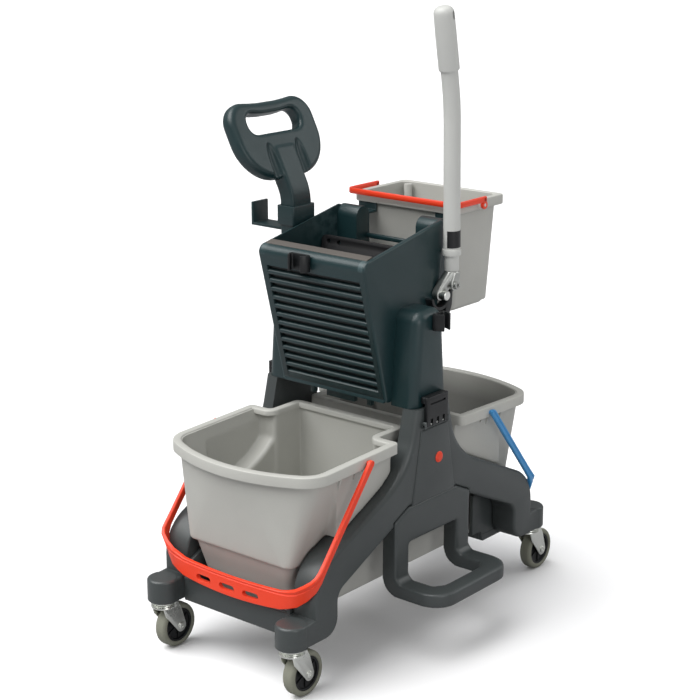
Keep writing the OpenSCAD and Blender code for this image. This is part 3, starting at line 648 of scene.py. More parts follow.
RIM_H, RIM_Y, RIM_X, NECK_Y, NECK_X = 362, 85, 160.5, 14, 117
BOW_R, REACH, CORNER_R, FALL = 294, 330.5, 51.5, math.tan(math.radians(1.7))
WAIST_Z, WAIST_X, WAIST_Y, TUB_X, TUB_Z = 197, 112, 298, 104, 98.6
SILL_X, SILL_Y, NECK_WALL_X, NECK_WALL_Y = 143, 222, 108, 20
WALL, HOLLOW_LIFT, LEG_GAP, BOX_R = 3.5, 14, 0.8, 15
# The rim's section, as the margin inwards and the drop from its top
RIM_LINE = ((0, 17), (0, 1.6), (0.4, 0.5), (1.5, 0), (11.6, 0), (13, 0.6), (13.9, 2.4), (13.9, 9),
            (9, 9), (4.5, 4.5), (4.0, 16.4), (3.2, 17))
# Ribs on a flank, as y, width and foot, and the section of their top
FLANK_RIBS, FLANK_SLOPE = ((-217, 4, 268), (-180, 5, 322), (-160, 3, 330)), 0.236
RIB_TOP = [(152, 344), (152, 352), (143, 352)]
# The painted shadow inside the rear bucket, next to the press and away from it
PAINTED_SHADOW_MID, PAINTED_SHADOW_NEAR, PAINTED_SHADOW_FAR = Vector((0, 190, 270)), 0.88, 0.62


def rim_z(y):
    return RIM_H - max(0, -RIM_Y - y) * FALL


def bow(margin):
    """The bowed end of a bucket seen from above, drawn in by a margin."""
    w, r, c = RIM_X - margin, BOW_R - margin, max(CORNER_R - margin, 4)
    y = -(REACH - BOW_R)
    d = math.sqrt((r - c) ** 2 - (w - c) ** 2)
    a = math.degrees(math.atan2(d, w - c))
    ends = arc(w - c, y - d, c, 0, -a, 10), arc(c - w, y - d, c, a - 180, -180, 10)
    return ends[0] + arc(0, y, r, -a, a - 180, 40)[1:-1] + ends[1]


def rim_plan(m):
    """The whole rim seen from above, drawn in by a margin, with the neck between the pillars."""
    end, ear, inner = max(12 - m, 1.5), max(10 - m, 1.5), 8
    half = arc(NECK_X - m - end, -NECK_Y - m - end, end, 90, 0, 6)
    half += arc(NECK_X + inner, -RIM_Y + inner, inner + m, 180, 270, 6)
    half += arc(RIM_X - m - ear, -RIM_Y - m - ear, ear, 90, 0, 6)
    return half + bow(m)[1:-1] + [(-x, y) for x, y in reversed(half)]


def rim_ring(margin, drop):
    return [at(x, y, rim_z(y) - drop) for x, y in rim_plan(margin)]


def leg_tool(grow):
    """What a leg takes out of a bucket's flank."""
    inner = PILLAR_Y - 30
    leg = leg_top() + [(LEG_END, FOOT_Z), (inner, FOOT_Z), (inner, PILLAR_H)]
    leg = [(-y - 0.7 * grow, z + 0.7 * grow) for y, z in leg]
    return with_mirror(side_plate("leg_tool", leg, WAIST_X - grow + 0.4, 240))


def round_box(x, y0, y1, r, z):
    pts = arc(x - r, y1 - r, r, 90, 0, 6) + arc(x - r, y0 + r, r, 0, -90, 6)
    pts += arc(r - x, y0 + r, r, 270, 180, 6) + arc(r - x, y1 - r, r, 180, 90, 6)
    return [at(px, py, z) for px, py in pts]


def bucket_form(m, lift):
    """The outer body of a bucket, or its hollow, drawn in by a margin, as one soft skin."""
    end, neck_y = RIM_X - 10 - m, -NECK_WALL_Y - m
    top = bow(10 + m) + [(-end, -RIM_Y - m), (end, -RIM_Y - m)]
    top = [at(x, y, rim_z(y) - 2 + lift) for x, y in top]
    flank = hulled("flank", top, round_box(WAIST_X - m, -WAIST_Y + m, -RIM_Y, BOX_R, WAIST_Z))
    weld(flank, block("sill", (-SILL_X + m, -SILL_Y + m, WAIST_Z),
                      (SILL_X - m, -RIM_Y - m, RIM_H - 8 + lift)))
    carve(flank, leg_tool(LEG_GAP + m * 1.07))
    neck = block("neck", (-NECK_WALL_X + m, -RIM_Y - 40, WAIST_Z - 10),
                 (NECK_WALL_X - m, neck_y, RIM_H - 3 + lift))
    tub = hulled("tub", round_box(TUB_X - m, -WAIST_Y + 5 + m, neck_y, BOX_R, WAIST_Z + 3),
                 round_box(TUB_X - 10 - m, -WAIST_Y + 38 + m, neck_y, BOX_R, TUB_Z + m))
    return mould(join(flank, neck, tub), 3.0, 5)


def flank_rib(y, w, low):
    """A rib on a bucket's flank that runs out into the rim's skirt."""
    x = WAIST_X + (low - WAIST_Z) * FLANK_SLOPE
    line = [(x - 3, low), (x + 2.5, low)] + RIB_TOP
    rib = plate("rib", [at(px, y - w / 2, z) for px, z in line], way(0, w, 0))
    return round_edges(rib, 1, segments=2)


def bucket(name):
    body = bucket_form(0, 0)
    body.name = body.data.name = name
    ribs = [flank_rib(*r) for r in FLANK_RIBS]
    weld(body, *ribs, *[twin(r, "rib_left", MIRROR_X) for r in ribs])
    carve(body, bucket_form(WALL, HOLLOW_LIFT))
    return join(body, loft("rim", [rim_ring(*r) for r in RIM_LINE], loop=True))


def painted_rear_shadow(p, normal):
    """Painted shadow inside the bucket that stands behind the press, darkest next to it."""
    low = RIM_H - 10 - p.z
    if low <= 0 or normal.dot(PAINTED_SHADOW_MID - p) <= 0:
        return 0
    return min(1, low / 40) * (PAINTED_SHADOW_NEAR + (PAINTED_SHADOW_FAR - PAINTED_SHADOW_NEAR) * ramp(p.y, 120, 300))


front_bucket = bucket("front_bucket_dressed")
rear_bucket = twin(front_bucket, "rear_bucket_dressed", HALF_TURN)
# Painted shadow inside the rear bucket, deepest next to the press
shade_depth(rear_bucket, painted_rear_shadow)
fit(front_bucket, "front_bucket", BUCKET, "front_bucket", smooth=50)
fit(rear_bucket, "rear_bucket", BUCKET, "rear_bucket", smooth=50)

# Bails: a narrow ridged arm that widens at its elbow into a band with three finger slots
BAIL_PIVOT, ELBOW = Vector((166.5, -166.5, 350.08)), Vector((166.5, -292, 196.3))
ARM_T, BAND_T, BAND_W, BAND_Y, BAND_Z = 6.8, 8, 30, -309.1, 153.4
# Arm: distance from the pivot and height
ARM = ((-5.4, 3.5), (-4.4, 7.6), (-2.6, 10.4), (0, 12), (20, 12), (168, 12))
# Elbow: centre, share of the arm's lean, outward way, height, thickness and groove
BEND_STATIONS = (((165.3, -293, 194.3), 0.8, (1, -0.2, 0), 17, ARM_T, 2),
                 ((160, -298.5, 184), 0.6, (0.9, -0.5, 0), 23, 7, 5),
                 ((148, -304, 172), 0.4, (0.72, -0.7, 0), 28, 7.5, 7.5),
                 ((133, -308, 161.5), 0.2, (0.5, -0.86, 0), BAND_W, BAND_T, 9),
                 ((118, BAND_Y, 155.8), 0, (0.25, -0.97, 0), BAND_W, BAND_T, 9.5))
BAND_X, BAND_HALF, BAND_SAG = (104, 80, 56, 28, 0), 122, 8
FINGER_X, FINGER_Z, FINGER_R, FINGER_HALF = (-55, -3, 47), 146.5, 5.4, 11
PIN_R, PIN_IN, PIN_OUT = 4, 153.6, 167


def bail_ring(centre, up, out, height, thick, groove):
    """A section of a bail: a bevelled bar with a shallow groove along its outer face."""
    h, t = height / 2, thick / 2
    c, d, g, lip = min(1.3, thick / 4, h / 2), min(0.9, h / 4), min(1.6, h / 4), min(0.7, h / 8)
    line = [(h - c, t), (groove + g + lip, t), (groove + g, t - d), (groove - g, t - d),
            (groove - g - lip, t), (c - h, t), (-h, t - c), (-h, c - t), (c - h, -t), (h - c, -t),
            (h, c - t), (h, t - c)]
    return [at(*(centre + up * u + out * v)) for u, v in line]


def bail(name):
    along = (ELBOW - BAIL_PIVOT).normalized()
    across = Vector((0, along.z, -along.y))
    stations = []

    def put(centre, up, out, height, thick, groove):
        out = (out - out.dot(up) * up).normalized()
        stations.append((Vector(centre), up, out, height, thick, groove))

    for away, height in ARM:
        put(BAIL_PIVOT + along * away, across, X_WAY, height, ARM_T, 0)
    put(BAIL_PIVOT + along * ((ELBOW - BAIL_PIVOT).length - 10), across, X_WAY, 13, ARM_T, 0.5)
    for centre, lean, out, height, thick, groove in BEND_STATIONS:
        up = (across * lean + Z_WAY * (1 - lean)).normalized()
        put(centre, up, Vector(out), height, thick, groove)
    for x in BAND_X:
        sag = BAND_SAG * (1 - (x / BAND_HALF) ** 2)
        put((x, BAND_Y - sag, BAND_Z - sag / 2), Z_WAY, Vector((0, -1, 0)), BAND_W + sag / 2,
            BAND_T, 11 + sag / 2)
    flip = Vector((-1, 1, 1))
    for centre, up, out, *size in reversed(stations[:-1]):
        stations.append((centre * flip, up * flip, out * flip, *size))
    ob = loft(name, [bail_ring(*s) for s in stations])
    for x in FINGER_X:
        line = arc(x + FINGER_HALF, FINGER_Z, FINGER_R, -90, 90, 8)
        line += arc(x - FINGER_HALF, FINGER_Z, FINGER_R, 90, 270, 8)
        carve(ob, plate("slot", [at(u, -330, v) for u, v in line], way(0, 40, 0)))
    return join(ob, *[rod_x("pin", s * PIN_IN, s * PIN_OUT, *BAIL_PIVOT.yz, PIN_R, 24)
                      for s in SIDES])


front_bail = bail("front_bail_dressed")
rear_bail = twin(front_bail, "rear_bail_dressed", HALF_TURN)
fit(front_bail, "front_bail", RED, "front_bail")
fit(rear_bail, "rear_bail", BLUE, "rear_bail")

# ------------ casters

WHEEL_R, TRAIL, TYRE_HALF, TYRE_ROUND = 37.5, 25, 11, 5.5
CHEEK_IN, CHEEK_OUT, CHEEK_R, CROWN_Z, CROWN_T = 12.5, 15, 10.5, 78, 4
SPOKES, SPOKE_X, SPOKE_T, SPOKE_IN, SPOKE_OUT = 6, 6.6, 2.2, 8, 25.2
# Turned sections, as (radius, z) for the race and the crown and (radius, x) for the others
RACE_LINE = ((0, 89.3), (20.6, 89.3), (21.6, 88.4), (21.6, 87), (20.2, 86), (18.6, 85.6),
             (18.6, 84.9), (20.4, 84.4), (20.8, 83.4), (20, 82.4), (6, 82.3), (6, 76), (0, 76))
CROWN_LINE = ((6.1, 82), (17.5, 82), (20, 81), (20.8, 79.5), (20.8, 78.2), (20, 78), (6.1, 78),
              (6.1, 82))
AXLE_LINE = ((0, -18.2), (2.2, -18.2), (2.6, -17.9), (5.2, -17.6), (6.3, -16.8), (6.5, -15.1),
             (4, -15.1), (4, 15.1), (6.5, 15.1), (6.3, 16.8), (5.2, 17.6), (2.6, 17.6), (2.2, 16.2),
             (0, 16.2))
HUB_LINE = [(4.1, 12.1), (7.6, 12.1), (8.2, 11.4), (8.6, 5.4), (10, 4.6), (22, 4.6), (24.4, 5.4),
            (25.4, 8.4), (28.4, 9)]
BEAD_LINE = [(28.5, 9), (29, 10.2), (29.8, 10.9), (31, TYRE_HALF)]


def on_wheel(name, line, steps):
    return turned_x(name, line, TRAIL, WHEEL_R, steps)


def two_faced(line):
    """A closed section of a wheel from the half on one side of its middle."""
    return line + [(r, -x) for r, x in reversed(line)] + [line[0]]


def fork_form():
    crown = turned_z("crown", CROWN_LINE)
    web = plate("web", [at(x, y, CROWN_Z) for x, y in ((-15, -13), (15, -13), (15, 20), (-15, 20))],
                way(0, 0, CROWN_T))
    sheet = [(-14, 79), (-9.5, 64)] + arc(TRAIL, WHEEL_R, CHEEK_R, 205, 375, 14)
    sheet += [(26, 70), (21, 79)]
    cheeks = [side_plate("cheek", sheet, s * CHEEK_IN, s * CHEEK_OUT) for s in SIDES]
    cheeks = [round_edges(c, 0.9, lambda e: angled(e, 50), 2) for c in cheeks]
    return carve(weld(crown, web, *cheeks), rod_x("bore", -20, 20, TRAIL, WHEEL_R, 4.05))


def hub_form():
    hub = on_wheel("hub", two_faced(HUB_LINE), 48)
    for i in range(SPOKES):
        spoke = block("spoke", (-SPOKE_X, TRAIL - SPOKE_T / 2, WHEEL_R + SPOKE_IN),
                      (SPOKE_X, TRAIL + SPOKE_T / 2, WHEEL_R + SPOKE_OUT))
        turn = Matrix.Rotation(2 * math.pi * i / SPOKES, 4, "X")
        spoke.data.transform(about(at(0, TRAIL, WHEEL_R), turn))
        join(hub, spoke)
    return hub


def tyre_form():
    tread = [math.radians(a) for a in (20, 40, 60, 75, 88)]
    r, x = WHEEL_R - TYRE_ROUND, TYRE_HALF - TYRE_ROUND
    half = BEAD_LINE + [(r + TYRE_ROUND * math.sin(a), x + TYRE_ROUND * math.cos(a)) for a in tread]
    return on_wheel("tyre", two_faced(half + [(WHEEL_R, 2)]), 72)


CORNERS = (("front_left", -1, -1), ("front_right", 1, -1), ("rear_left", -1, 1),
           ("rear_right", 1, 1))
for piece, pattern, carrier, finish in (
        ("race", turned_z("race", RACE_LINE), "", ZINC), ("fork", fork_form(), "fork_", ZINC),
        ("axle", on_wheel("axle", AXLE_LINE, 32), "fork_", ZINC),
        ("hub", hub_form(), "wheel_", BLACK), ("tyre", tyre_form(), "wheel_", TYRE)):
    for corner, sx, sy in CORNERS:
        node = piece + "_" + corner
        step = Matrix.Translation(way(sx * AXLE_X, sy * AXLE_Y, 0))
        body = carrier + corner if carrier else "chassis"
        fit(twin(pattern, node + "_dressed", step), body, finish, node)
    bpy.data.objects.remove(pattern)

# ------------ press

PRESS_X, IN_X, PRESS_Z, FLOOR_Z, HALF_FLOOR = 112, 106, 410, 418, 59
LEAN_A, BACK_A = 14.5, 8
LEAN, BACK = math.tan(math.radians(LEAN_A)), math.tan(math.radians(BACK_A))
LEAN_COS = math.cos(math.radians(LEAN_A))
SIDE_TOP, SIDE_BACK, SIDE_R, POST_X, POST_Z = 690, 93.2, 8, 63, 554
PIVOT_Y, PIVOT_Z = 68.36, 570
SLOTS, SLOT_LOW, SLOT_HIGH, BORDER, FOOT_R = 13, 433.5, 615.1, 8, 12
# A slot's section, as the way up the panel and the way out of it
SLOT_LINE = ((-6.0, 0.5), (-4.9, -0.6), (-4.0, -2.2), (-3.3, -6.8), (2.7, -6.8), (3.3, -2.2),
             (3.9, -0.7), (5.0, 0.5))


def front_y(z):
    return -(HALF_FLOOR + (z - FLOOR_Z) * LEAN)


def back_y(z):
    return HALF_FLOOR + (z - FLOOR_Z) * BACK


ROLL_Z, ROLL_R, ROLL_A = 640, 14, 180 + LEAN_A
ROLL_Y = front_y(ROLL_Z) + ROLL_R / LEAN_COS


def panel_skin(sunk):
    """Front line of the panel from its foot to the top of its roll, plain or with its slots."""
    line = [(front_y(FLOOR_Z) + FOOT_R, FLOOR_Z - 8)]
    line += arc(front_y(FLOOR_Z + 6) + FOOT_R, FLOOR_Z + 4, FOOT_R, 262, 192, 6)
    if sunk:
        pitch = (SLOT_HIGH - SLOT_LOW) / (SLOTS - 1)
        slope = Vector((-LEAN, 1)).normalized()
        out = Vector((-slope.y, slope.x))
        line.append((front_y(SLOT_LOW - 7), SLOT_LOW - 7))
        for i in range(SLOTS):
            z = SLOT_LOW + pitch * i
            foot = Vector((front_y(z), z))
            line += [tuple(foot + slope * u + out * v) for u, v in SLOT_LINE]
            if i < SLOTS - 1:
                line.append(tuple(foot + slope * pitch / LEAN_COS / 2 + out))
        line.append((front_y(SLOT_HIGH + 8), SLOT_HIGH + 8))
    return line + arc(ROLL_Y, ROLL_Z, ROLL_R, ROLL_A, 98.2, 12)


def panel_painted_shade(p, _normal):
    """Painted shade in the slots of the panel and under its foot."""
    if p.z < SLOT_LOW - 7:
        return ramp(SLOT_LOW - 7 - p.z, 0, 14) * 0.9
    return ramp(p.y - front_y(p.z), 1, 4.5) * (p.z < SLOT_HIGH + 6)


def press_front():
    roll_top, roll_back, neck = ROLL_Z + ROLL_R - 7, ROLL_Y + ROLL_R, ROLL_Z - 22
    inner = [(ROLL_Y - 2, roll_top), (roll_back, roll_top), (roll_back, ROLL_Z - 4),
             (front_y(neck) + 9, neck), (front_y(FLOOR_Z) + 9, FLOOR_Z)]
    x = IN_X - BORDER
    field = side_plate("press_front_dressed", panel_skin(True) + inner, -x, x)
    borders = [side_plate("border", panel_skin(False) + inner, x0, x1)
               for x0, x1 in ((-IN_X, -x), (x, IN_X))]
    join(field, *borders)
    # Painted shade in the panel's slots and under its foot
    shade_depth(field, panel_painted_shade)
    return field


fit(press_front(), "chassis", PRESS, "press_front", smooth=40)

LIP_LINE = ((-2, 7), (-2, 14.8), (12.4, 18.8), (13, 18), (13, 7))
lip = side_plate("press_lip_dressed", [(ROLL_Y + u, ROLL_Z + v) for u, v in LIP_LINE], -IN_X, IN_X)
fit(round_edges(lip, 1.2, along_x), "chassis", LIP, "press_lip")


def press_side(name, s):
    pts = [(HALF_FLOOR, PRESS_Z), (-HALF_FLOOR + 6, PRESS_Z), (-HALF_FLOOR, PRESS_Z + 3),
           (front_y(FLOOR_Z), FLOOR_Z)]
    pts += arc(ROLL_Y, ROLL_Z, ROLL_R, ROLL_A, 90, 14)
    pts += arc(SIDE_BACK - SIDE_R, SIDE_TOP - SIDE_R, SIDE_R, 100, 0, 8)
    pts += [(back_y(POST_Z), POST_Z), (HALF_FLOOR, FLOOR_Z)]
    ob = side_plate(name, pts, s * IN_X, s * PRESS_X)
    round_edges(ob, 3.4, lambda e: on_face(e, PRESS_X), 4)
    if s > 0:
        weld(ob, round_edges(rod_x("boss", IN_X, PRESS_X, PIVOT_Y, PIVOT_Z, 17), 1.5))
        carve(ob, rod_x("bore", 90, 130, PIVOT_Y, PIVOT_Z, 8.05))
    return ob


for s, node in zip(SIDES, ("press_side_left", "press_side_right")):
    fit(press_side(node + "_dressed", s), "chassis", PRESS, node)


def post_edge(e):
    c = middle(e)
    return angled(e) and abs(abs(c.x) - POST_X) < 0.5 and c.z > POST_Z + 6


def ram_corner(e):
    c = middle(e)
    return angled(e) and abs(run(e).y) > 0.9 and c.z > ROLL_Z and abs(c.x) > 100


dress("press_back", PRESS, 4, post_edge, 3)
dress("press_base", PRESS, 1.2)
dress("press_bar", PRESS, 1.6)
ram = round_edges(cad_copy("press_ram"), 8, ram_corner, 5)
fit(round_edges(ram, 1.4, sharp, 2), "ram", RAM, "press_ram")

SHOULDER_X = 158


def shoulder():
    top, foot, head, r = 563, 47, 36, 22
    pts = [(-foot, PILLAR_H), (foot, PILLAR_H)]
    pts += arc(head - r, top - r, r, 4, 90, 8) + arc(r - head, top - r, r, 90, 176, 8)
    ob = side_plate("shoulder", pts, PRESS_X, SHOULDER_X)

    def under(e):
        return angled(e, 50) and middle(e).z < PILLAR_H + 0.1 and middle(e).x > PRESS_X + 1

    round_edges(ob, 17, lambda e: on_face(e, SHOULDER_X) and middle(e).z > PILLAR_H + 1, 6)
    return round_edges(ob, 1.5, under, 2)


fit_pair("shoulder", shoulder(), PRESS)


def latch():
    face, out, h, top, hinge_x, hinge_z = 165.3, 172.3, 28, 424, 168.8, 377
    body = side_plate("latch", [(-h, hinge_z), (h, hinge_z), (h, top), (-h, top)], face, out)
    round_edges(body, 1.6, lambda e: angled(e) and middle(e).z > hinge_z + 1)
    knuckle = rod("knuckle", at(hinge_x, -h, hinge_z), at(hinge_x, h, hinge_z), 3.5, 24)
    hook = block("hook", (face - 7, -h, top - 11), (face + 1, h, top))
    weld(body, knuckle, round_edges(hook, 1.2))
    carve(body, block("slot", (out - 2.2, -20, top - 13), (out + 5, 20, top - 9.5)))
    for y in (-16, 0, 16):
        carve(body, block("notch", (out - 2.6, y - 3, 365), (out + 5, y + 3, hinge_z + 10)))
    return carve(body, rod("bore", at(hinge_x, -40, hinge_z), at(hinge_x, 40, hinge_z), 2.05, 24))


fit_pair("latch", latch(), BLACK, own_body=True)
dress("latch_pins", ZINC, flat=1)


def tool_clip(name, wide, deep, high, place):
    """Spring clip: a back plate and two rounded jaws that close towards each other."""
    w, d = wide / 2, deep
    half = [(0, -4), (w - 9, -4)] + arc(w - 7.5, -7.5, 3.4, 90, 20, 4)
    half += [(w - 5.2, -d * 0.55), (w - 8.5, -d + 3)] + arc(w - 7, -d + 2.2, 2.2, 200, 300, 5)
    half += [(w - 2, -d * 0.6), (w, -d * 0.4), (w, -2), (w - 2, 0), (0, 0)]
    line = half + [(-x, y) for x, y in reversed(half[1:-1])]
    ob = plate(name, [way(x, y, 0) for x, y in line], way(0, 0, high))
    round_edges(ob, 1.1, lambda e: sharp(e) and abs(run(e).z) < 0.1, 2)
    ob.data.transform(place)
    return ob


FRONT_CLIP, SIDE_CLIP = at(-18, ROLL_Y - ROLL_R, 623), at(SHOULDER_X, 14, 529)
for node, wide, deep, place in (
        ("front_tool_clip", 40, 18, Matrix.Translation(FRONT_CLIP)),
        ("side_tool_clip", 30, 20,
         Matrix.Translation(SIDE_CLIP) @ Matrix.Rotation(math.pi / 2, 4, "Z"))):
    fit(tool_clip(node + "_dressed", wide, deep, 28, place), "chassis", BLACK, node)

# ------------ lever

TUBE_FOOT, TUBE_R = Vector((130, 89.36, 608)), 14
LOW_A, HIGH_A, BEND_H, BEND_L = math.radians(1.2), math.radians(10.4), 276, 38
TOP_L, GRIP_L, GRIP_ROUND, HOOP_SIDES = 156, 103, 11.6, 40


def leaning(angle):
    return Vector((0, -math.sin(angle), math.cos(angle)))


LOW_WAY, HIGH_WAY = leaning(LOW_A), leaning(HIGH_A)
BEND = TUBE_FOOT + LOW_WAY * BEND_H
GRIP_FOOT = BEND + HIGH_WAY * (TOP_L - GRIP_L)


def hoop(centre, axis, r):
    """A round ring across an axis that leans in the YZ plane."""
    y_way = axis.cross(X_WAY)
    turns = [2 * math.pi * i / HOOP_SIDES for i in range(HOOP_SIDES)]
    return [at(*(centre + X_WAY * (r * math.cos(a)) + y_way * (r * math.sin(a)))) for a in turns]


def on_axis(name, base, axis, line):
    return loft(name, [hoop(base + axis * h, axis, r) for r, h in line])


def tube():
    """The lever's tube: straight, a soft bend, and straight again into the grip."""
    line = [(TUBE_FOOT + LOW_WAY * h, LOW_WAY) for h in (37.2, 60, 120, 180, 236)]
    start, end = BEND - LOW_WAY * BEND_L, BEND + HIGH_WAY * BEND_L
    for i in range(1, 12):
        t = i / 12
        centre = (1 - t) ** 2 * start + 2 * t * (1 - t) * BEND + t * t * end
        line.append((centre, leaning(LOW_A + (HIGH_A - LOW_A) * t)))
    line += [(BEND + HIGH_WAY * h, HIGH_WAY) for h in (40, 48, TOP_L - GRIP_L + 2)]
    return loft("lever_tube_dressed", [hoop(c, a, TUBE_R) for c, a in line])


def grip():
    line = [(14.6, 0), (16.2, 0.4), (16.8, 1.4), (17, 3), (17, 60), (16.7, GRIP_L - 16)]
    r = GRIP_ROUND
    for a in (8, 25, 45, 65, 82):
        a = math.radians(a)
        line.append((5 + r * math.cos(a), GRIP_L - r + r * math.sin(a)))
    ob = on_axis("lever_grip_dressed", GRIP_FOOT, HIGH_WAY, line + [(3, GRIP_L)])
    hang, y_way = GRIP_FOOT + HIGH_WAY * (GRIP_L - 15) - X_WAY * 30, HIGH_WAY.cross(X_WAY)
    slot = arc(0, 3.5, 3.5, 0, 180, 8) + arc(0, -3.5, 3.5, 180, 360, 8)
    slot = [at(*(hang + HIGH_WAY * v + y_way * (u + 4))) for u, v in slot]
    return carve(ob, plate("hang_slot", slot, way(60, 0, 0)))


def label_band():
    """A plain black band round the tube's outer side."""
    spread, steps, line = 86, 12, ((40, 14.05), (40, 14.5), (68, 14.5), (68, 14.05))
    sections = []
    for i in range(-steps, steps + 1):
        a = math.radians(spread * i / steps)
        out = X_WAY * math.cos(a) + LOW_WAY.cross(X_WAY) * math.sin(a)
        sections.append([at(*(TUBE_FOOT + LOW_WAY * h + out * r)) for h, r in line])
    return loft("lever_label_dressed", sections)


def clevis():
    """The lever's foot: a link from the shaft to the tube, with a cheek on its outer side."""
    foot = [at(x, y, z) for x in (112.6, 124) for y, z in arc(PIVOT_Y, PIVOT_Z, 10.5, 0, 345, 23)]
    ob = hulled("lever_clevis_dressed", foot, hoop(TUBE_FOOT - LOW_WAY * 7, LOW_WAY, 11.4),
                hoop(TUBE_FOOT, LOW_WAY, 11.4))
    line = arc(PIVOT_Y + 14.5, PIVOT_Z + 15, 9, 150, 330, 10) + [(97, 596), (97, 606), (84, 606)]
    weld(ob, round_edges(side_plate("cheek", line, 136, 142.4), 0.8, segments=2))
    return mould(ob, 0.9, 3)


def guard():
    """The black guard behind the lever's foot."""
    out = 126
    line = arc(PIVOT_Y, PIVOT_Z, 21, 190, 352, 16)
    line += [(96, 584), (100, 574), (98, 548), (88, 524), (78, 526)]
    line += arc(PIVOT_Y, PIVOT_Z, 27, 300, 190, 10)
    ob = side_plate("lever_guard", line, PRESS_X - 1, out)
    return round_edges(ob, 1.6, lambda e: on_face(e, out, 40))


def shaft():
    line = [(7, 0), (8, 1), (8, 31), (7, 32)]
    ob = on_axis("lever_shaft_dressed", Vector((0, 0, 0)), Z_WAY, line)
    turn = Matrix.Rotation(math.pi / 2, 4, "Y") @ Matrix.Translation(-ORIGIN)
    ob.data.transform(Matrix.Translation(at(IN_X, PIVOT_Y, PIVOT_Z)) @ turn)
    return ob


FERRULE_LINE = ((10.6, 0), (11.6, 0.4), (12, 1.4), (12, 26))
COLLAR_LINE = ((14, 26), (15.2, 26.5), (15.5, 27.6), (15.5, 35.4), (15.2, 36.5), (14.2, 37))
fit(tube(), "lever", LEVER, "lever_tube")
fit(grip(), "lever", LEVER, "lever_grip")
for node, line in (("lever_ferrule", FERRULE_LINE), ("lever_collar", COLLAR_LINE)):
    fit(on_axis(node + "_dressed", TUBE_FOOT, LOW_WAY, line), "lever", LEVER, node)
fit(label_band(), "lever", BLACK, "lever_label")
fit(clevis(), "lever", ZINC_SHADED, "lever_clevis", smooth=60)
fit(guard(), "chassis", BLACK)
fit(shaft(), "lever", ZINC, "lever_shaft")
dress("lever_bolt", ZINC_SHADED, 0.8, lambda e: sharp(e) and middle(e).x > 147, body="lever", flat=1)

# ------------ pail

PAIL_X, PAIL_FRONT, PAIL_L, PAIL_Z, PAIL_FOOT = 109, 128.2, 142, 707, 518
PAIL_MID, PAIL_PIN_Z, DRAFT = 199.2, 698.5, 9
# The pail's section from its foot up to the rim and down inside: inset, z, corner radius and draft
PAIL_LINE = (
    (17, PAIL_FOOT, 10, DRAFT), (15.4, PAIL_FOOT + 0.8, 11, DRAFT), (15, PAIL_FOOT + 5, 11, DRAFT),
    (9.6, PAIL_FOOT + 5.6, 13, DRAFT), (8.4, PAIL_FOOT + 7, 14, DRAFT),
    (8, PAIL_FOOT + 10, 15, DRAFT), (8, 689.4, 15, 0.9), (3, 690, 12), (0.8, 690, 10),
    (0, 691, 9.5), (0, 704.4, 9.5), (0.8, 706.3, 9.2), (2.6, PAIL_Z, 9), (9, PAIL_Z, 14),
    (10.6, 705.6, 14), (11, 702, 14), (10.6, PAIL_FOOT + 10, 13, DRAFT),
    (13, PAIL_FOOT + 4, 11, DRAFT))
EYELET_LINE = ((0, 109), (8, 109), (8, 110.6), (6.8, 112), (3.2, 112), (3, 117.4), (2.4, 118),
               (0, 118))
EYE_LINE = ((3.1, 113), (6.4, 113), (7, 113.8), (7, 117.2), (6.4, 118), (3.1, 118), (3.1, 113))
BAR_X, BAR_Y, BAR_Z, BAR_R = 115.5, PAIL_MID - 79.5, 708, 10
BAR_LINE = ((2.5, 3.6), (1.6, 4.8), (-1.6, 4.8), (-2.5, 3.6), (-2.5, -3.6), (-1.6, -4.8),
            (1.6, -4.8), (2.5, -3.6))


def pail_ring(inset, z, r, draft=0.0):
    return round_box(PAIL_X - inset - draft, PAIL_FRONT + inset + draft / 2,
                     PAIL_FRONT + PAIL_L - inset - draft, r, z)


def pail():
    ob = loft("pail_dressed", [pail_ring(*p) for p in PAIL_LINE])
    rib = rod("rib", at(-76.5, 241.5, PAIL_FOOT + 6), at(-85, 250, 704), 7.5, 24)
    return join(ob, round_edges(rib, 1.2, sharp, 2))


def pail_bail():
    eye = turned_x("eye", EYE_LINE, PAIL_MID, PAIL_PIN_Z, 32)
    post = block("post", (113, PAIL_MID - 4, PAIL_PIN_Z + 4), (118, PAIL_MID + 4, BAR_Z + 4.5))
    round_edges(post, 1.6)
    path = [(BAR_X, PAIL_MID + 4), (BAR_X, PAIL_MID - 60)]
    path += arc(BAR_X - BAR_R, PAIL_MID - 69, BAR_R, -10, -88, 5)
    path += [(60, BAR_Y), (0, BAR_Y)]
    path += [(-x, y) for x, y in reversed(path[:-1])]
    path = [Vector((x, y, BAR_Z)) for x, y in path]
    rings = []
    for p, a, b in zip(path, path[:1] + path, path[1:] + path[-1:]):
        out = (b - a).normalized().cross(Z_WAY)
        rings.append([at(*(p + out * u + Z_WAY * v)) for u, v in BAR_LINE])
    bar = loft("pail_bail_dressed", rings)
    return join(bar, with_mirror(eye), with_mirror(post))


fit(pail(), "pail", BUCKET, "pail")
eyelets = with_mirror(turned_x("pail_eyelets_dressed", EYELET_LINE, PAIL_MID, PAIL_PIN_Z, 32))
fit(eyelets, "pail", PALE, "pail_eyelets")
fit(pail_bail(), "pail_bail", RED, "pail_bail")
dress("pail_hanger", PRESS, 1, angled)

# ------------ push handle

MAST_X, MAST_Y, MAST_T, MAST_W, MAST_FOOT = -134, 4, 30, 48, 563
NECK_Z, NECK_R, HEAD_Z, HEAD_REACH = 700, 70, 716.8, 80
HEAD_A, HEAD_X, HEAD_FOOT, HEAD_TOP, HEAD_T = 27, 102, 30, 167, 27
HEAD_LEAN = math.radians(HEAD_A)
HEAD_COS, HEAD_SIN = math.cos(HEAD_LEAN), math.sin(HEAD_LEAN)
BELLY_R, LOBE_R, SAG, SAG_HALF = 72, 38, 4, 64
HOLE_TOP, HOLE_HALF, HEAD_ROUND, HOLE_SHARE = 146, 48, 9.5, 0.65
SCOOP_Y, SCOOP_UP, SCOOP_SIZE = 35.5, 42, (9.5, 10, 50, 1)


